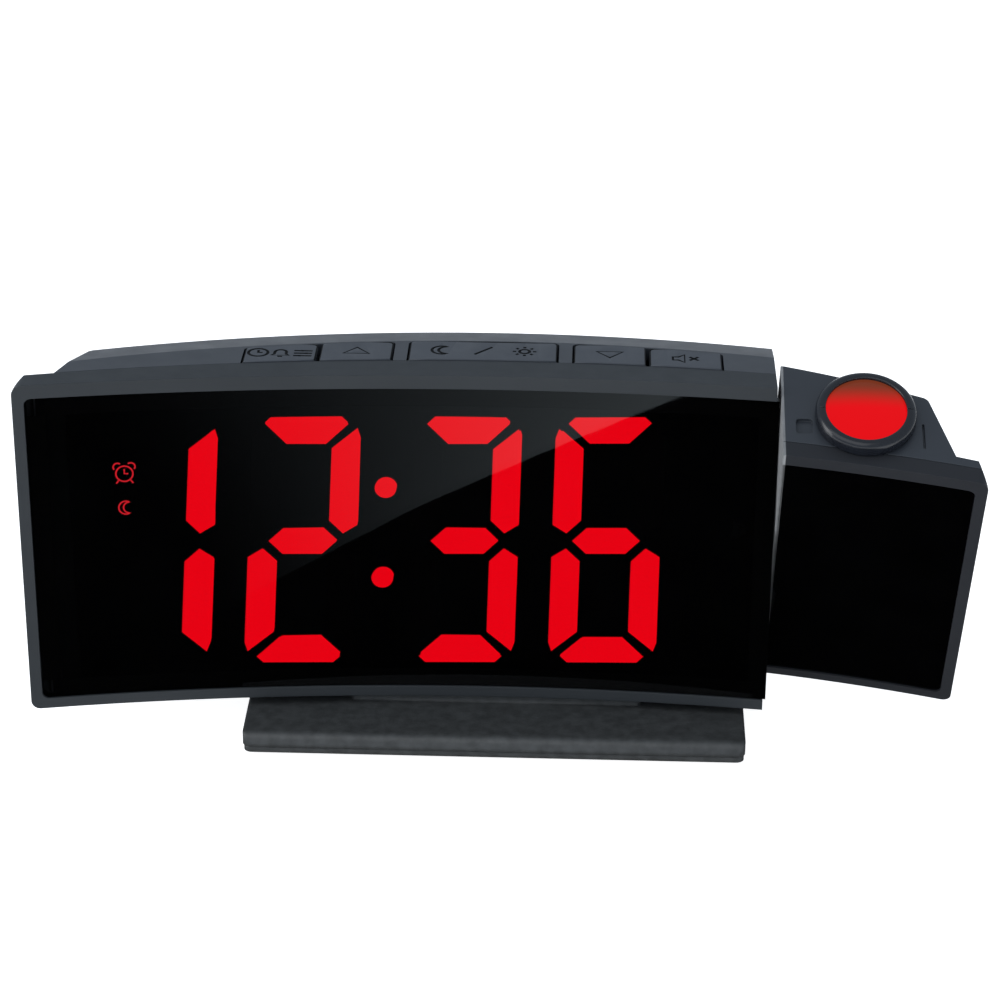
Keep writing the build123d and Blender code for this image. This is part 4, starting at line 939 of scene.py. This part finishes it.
class CLOCK_OT_display(bpy.types.Operator):
    """Lights the digits and makes the icons behind the panel"""
    bl_idname = "clock.display"
    bl_label = "Display"

    def execute(self, context):
        shapes = context.scene.clock_shapes
        dress("display_block")
        panel = tree_of("front_panel")
        for node in ("segments_lit", "segments_unlit"):
            bm = copied(node)
            for vertex in bm.verts:
                self.straighten(vertex.co, shapes, panel)
            digits = finished(node + "_pipes", bm, node)
            dim(digits)
            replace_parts(digits, node)
        low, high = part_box("indicator_lights")
        dot = (high.x - low.x) / 2
        x = (low.x + high.x) / 2
        upright = Matrix.Rotation(pi / 2, 4, "X")
        bm = bmesh.new()
        for height, strokes in ((high.z - dot, ALARM_ICON), (low.z + dot, NIGHT_ICON)):
            place = Matrix.Translation((x, 0, height)) @ upright
            icon = lines("icon", strokes, shapes.icon_line, place)
            bm.from_mesh(icon.data)
            bpy.data.objects.remove(icon)
        lay_behind(bm, "front_panel", shapes.film, CLEARANCE, shapes.icon_line)
        icons = finished("display_icons", bm, "indicator_lights")
        dim(icons)
        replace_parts(icons, "indicator_lights")
        return {"FINISHED"}

    def straighten(self, point, shapes, panel):
        """Moves a point of the digits along the panel, so that all lean alike on one level line."""
        low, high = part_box("segments_lit")
        across = (point.x - shapes.digits_middle) / SPAN
        above = (point.z - (low.z + high.z) / 2) / HALF_HEIGHT
        before = back_at(panel, point.x, point.z).y
        point.x -= (MOVE_LEFT + UPRIGHT * across * above) * MM
        point.z += (LOWER + TILT * across + BEND * across ** 2) * MM
        point.z += (STRETCH * above + DROP * above ** 2) * MM
        point.y += back_at(panel, point.x, point.z).y - before - shapes.digits_proud


class CLOCK_OT_keys(bpy.types.Operator):
    """Rounds the keys, engraves a symbol in each with painted shade in its grooves, and cuts a line
    round each that is painted as the shadow of its gap
    """
    bl_idname = "clock.keys"
    bl_label = "Keys"

    def execute(self, context):
        shapes = context.scene.clock_shapes
        # Painted shade in the grooves of the symbols, and painted shadow in the line round each
        # key.
        paint = surface(
            "painted_groove_shade", context.scene.clock_colours.painted_groove_shade, 0.6, Specular_IOR_Level=0.2)
        for node, symbol in KEY_SYMBOLS.items():
            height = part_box(node)[1].z
            bm = copied(node)
            rim = [edge for edge in bm.edges
                   if all(abs(vertex.co.z - height) < MERGE for vertex in edge.verts)]
            top = [vertex.co for edge in rim for vertex in edge.verts]
            left, near = (min(point[axis] for point in top) for axis in (0, 1))
            right, far = (max(point[axis] for point in top) for axis in (0, 1))
            rounded(bm, rim, shapes.key_round)
            key = finished(node + "_cap", bm, node)
            place = Matrix.Translation(((left + right) / 2, (near + far) / 2, height))
            grow = Matrix.Diagonal((shapes.symbol_scale, shapes.symbol_scale, 1, 1))
            cut(key, lines("symbol", symbol, shapes.groove, place @ grow), paint)
            # A groove along the sides and far edge of the key, painted dark as the shadow of the
            # gap round it.
            half, deep = (right - left) / 2 / MM - GAP_SHADOW_SIDE, (far - near) / 2 / MM
            cut(key, lines("outline", [(outline(half, deep), False)], shapes.outline, place), paint)
            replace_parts(key, node)
        return {"FINISHED"}


class CLOCK_OT_projector(bpy.types.Operator):
    """Turns the focus ring with its rounded lip and two marks, and the red lens"""
    bl_idname = "clock.projector"
    bl_label = "Projector"

    def execute(self, context):
        shapes = context.scene.clock_shapes
        outer, foot, top = local_size("focus_ring")
        lens_radius, lens_low, lens_high = local_size("front_lens")
        edge = (lens_low + lens_high) / 2
        self.ring(shapes, outer, foot, top, lens_radius + LENS_FIT, lens_low, edge)
        self.lens(lens_radius, lens_low, lens_high, edge)
        self.pad(shapes)
        for node in INSIDE_POD:
            dress(node)
        return {"FINISHED"}

    def pad(self, shapes):
        """Pale friction pad on the left end of the pod."""
        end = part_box("pod_shell")[0].x
        bm = bmesh.new()
        for node in ("pod_shell", "pod_frame"):
            bm.from_mesh(frame["nodes"][node].data)
        bmesh.ops.remove_doubles(bm, verts=bm.verts, dist=MERGE)
        inner = [face for face in bm.faces if face.normal.x > -0.9
                 or any(abs(vertex.co.x - end) > MERGE for vertex in face.verts)]
        bmesh.ops.delete(bm, geom=inner, context="FACES")
        bmesh.ops.translate(bm, verts=bm.verts, vec=(-CLEARANCE, 0, 0))
        added = bmesh.ops.extrude_face_region(bm, geom=bm.faces[:], use_keep_orig=True)
        outside = [part for part in added["geom"] if isinstance(part, bmesh.types.BMVert)]
        bmesh.ops.translate(bm, verts=outside, vec=(-shapes.pad, 0, 0))
        bmesh.ops.recalc_face_normals(bm, faces=bm.faces)
        finished("friction_pad", bm, "pod_shell", "washer_plastic").data.materials[0] = surface(
            "pale_felt", bpy.context.scene.clock_colours.pad, 0.8, mottle=0.12, mottle_size=2 * MM,
            grain=0.2 * MM, grain_height=0.02 * MM)

    def ring(self, shapes, outer, foot, top, seat, step, edge):
        """Ring with a broad rounded lip that reaches over the edge of the lens."""
        bore = seat - RING_SEAT
        lip = seat - shapes.ring_lip
        under = edge + LIP_GAP
        bm = turned([(bore, foot), (outer, foot), (outer, top), (lip, top), (lip, under),
                     (seat, under), (seat, step), (bore, step)], RING_SPIN)
        rounded(bm, ring_edges(bm, outer, top), shapes.ring_round, 10)
        rounded(bm, ring_edges(bm, outer, foot) + ring_edges(bm, lip, top), shapes.ring_edge, 4)
        bm.transform(deck_matrix())
        ring = finished("focus_ring_lip", bm, "focus_ring")
        height = shapes.mark_depth + ABOVE
        place = deck_matrix() @ Matrix.Translation((0, 0, top + ABOVE - height / 2))
        cut(ring, bar(2.2 * outer, shapes.mark_width, height, place))
        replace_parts(ring, "focus_ring")

    def lens(self, radius, low, high, edge):
        """Lens domed on a short straight edge."""
        curve = (radius ** 2 + (high - edge) ** 2) / (2 * (high - edge))
        rings = [radius * cos(pi / 2 * step / LENS_RINGS) for step in range(LENS_RINGS)]
        dome = [(ring, high - curve + sqrt(curve ** 2 - ring ** 2)) for ring in rings]
        bm = turned([(0, low), (radius, low), *dome, (0, high)], LENS_SPIN, closed=False)
        bm.transform(deck_matrix())
        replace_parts(finished("red_front_lens", bm, "front_lens"), "front_lens")


class CLOCK_OT_screws(bpy.types.Operator):
    """Rounds the heads of the screws and cuts a cross slot in each"""
    bl_idname = "clock.screws"
    bl_label = "Screws"

    def execute(self, context):
        for node in SCREWS:
            self.slotted(context.scene.clock_shapes, node)
        return {"FINISHED"}

    def slotted(self, shapes, node):
        """Rounds and slots the heads of one set of screws, which all face one way."""
        tilt = optical_axis()[1] if body_of(node) == "pod" else Euler((0, 0, 0))
        outward = Vector((0, 0, -1)) if node == "stand_screws" else Vector((0, 1, 0))
        outward = tilt.to_matrix() @ outward
        bm = copied(node)
        heads, rims = [], []
        for solid in islands(bm):
            end = max(vertex.co.dot(outward) for vertex in solid)
            crown = [vertex for vertex in solid if vertex.co.dot(outward) > end - MERGE]
            heads.append(sum((vertex.co for vertex in crown), Vector()) / len(crown))
            rims += [edge for vertex in crown for edge in vertex.link_edges
                     if edge.other_vert(vertex) in crown]
        rounded(bm, list(dict.fromkeys(rims)), HEAD_ROUND)
        screws = finished(node + "_slotted", bm, node)
        facing = outward.to_track_quat("Z", "Y").to_matrix().to_4x4()
        for head in heads:
            for turn in (0, pi / 2):
                place = Matrix.Translation(head) @ facing @ Matrix.Rotation(turn, 4, "Z")
                cut(screws, bar(SLOT_LENGTH, shapes.recess_width, 2 * shapes.recess_depth, place))
        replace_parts(screws, node)


class CLOCK_OT_inner(bpy.types.Operator):
    """Dresses the pieces inside, behind and under the clock"""
    bl_idname = "clock.inner"
    bl_label = "Inner pieces"

    def execute(self, context):
        for node in INSIDE_BODY:
            dress(node)
        return {"FINISHED"}


def dress(node, finish=None):
    """Gives a CAD node that stays its own finish, or the one of its slot."""
    mesh = frame["nodes"][node].data
    mesh.materials.clear()
    mesh.materials.append(finish or finish_of(slot_of(node)))


class CLOCK_PT_sidebar(bpy.types.Panel):
    """Lists the clock's sizes, colours and operators"""
    bl_idname = "CLOCK_PT_sidebar"
    bl_label = "Projection alarm clock"
    bl_space_type = "VIEW_3D"
    bl_region_type = "UI"
    bl_category = "Clock"

    def draw(self, context):
        for group_name, kind in GROUPS.items():
            column = self.layout.column(align=True)
            for name in kind.__annotations__:
                column.prop(getattr(context.scene, group_name), name)
        for operator in OPERATORS:
            self.layout.operator(operator.bl_idname)


OPERATORS = (CLOCK_OT_studio, CLOCK_OT_mouldings, CLOCK_OT_panels, CLOCK_OT_display, CLOCK_OT_keys,
             CLOCK_OT_projector, CLOCK_OT_screws, CLOCK_OT_inner)
GROUPS = {"clock_shapes": ClockShapes, "clock_colours": ClockColours, "clock_studio": ClockStudio}


def register():
    for group in GROUPS.values():
        bpy.utils.register_class(group)
    for name, group in GROUPS.items():
        setattr(bpy.types.Scene, name, PointerProperty(type=group))
    for operator in (*OPERATORS, CLOCK_PT_sidebar):
        bpy.utils.register_class(operator)


def unregister():
    for operator in (CLOCK_PT_sidebar, *reversed(OPERATORS)):
        bpy.utils.unregister_class(operator)
    for name, group in GROUPS.items():
        delattr(bpy.types.Scene, name)
        bpy.utils.unregister_class(group)


def main():
    """Runs every operator in order."""
    register()
    for operator in OPERATORS:
        getattr(bpy.ops.clock, operator.bl_idname.split(".")[1])()


if __name__ == "__main__":
    main()
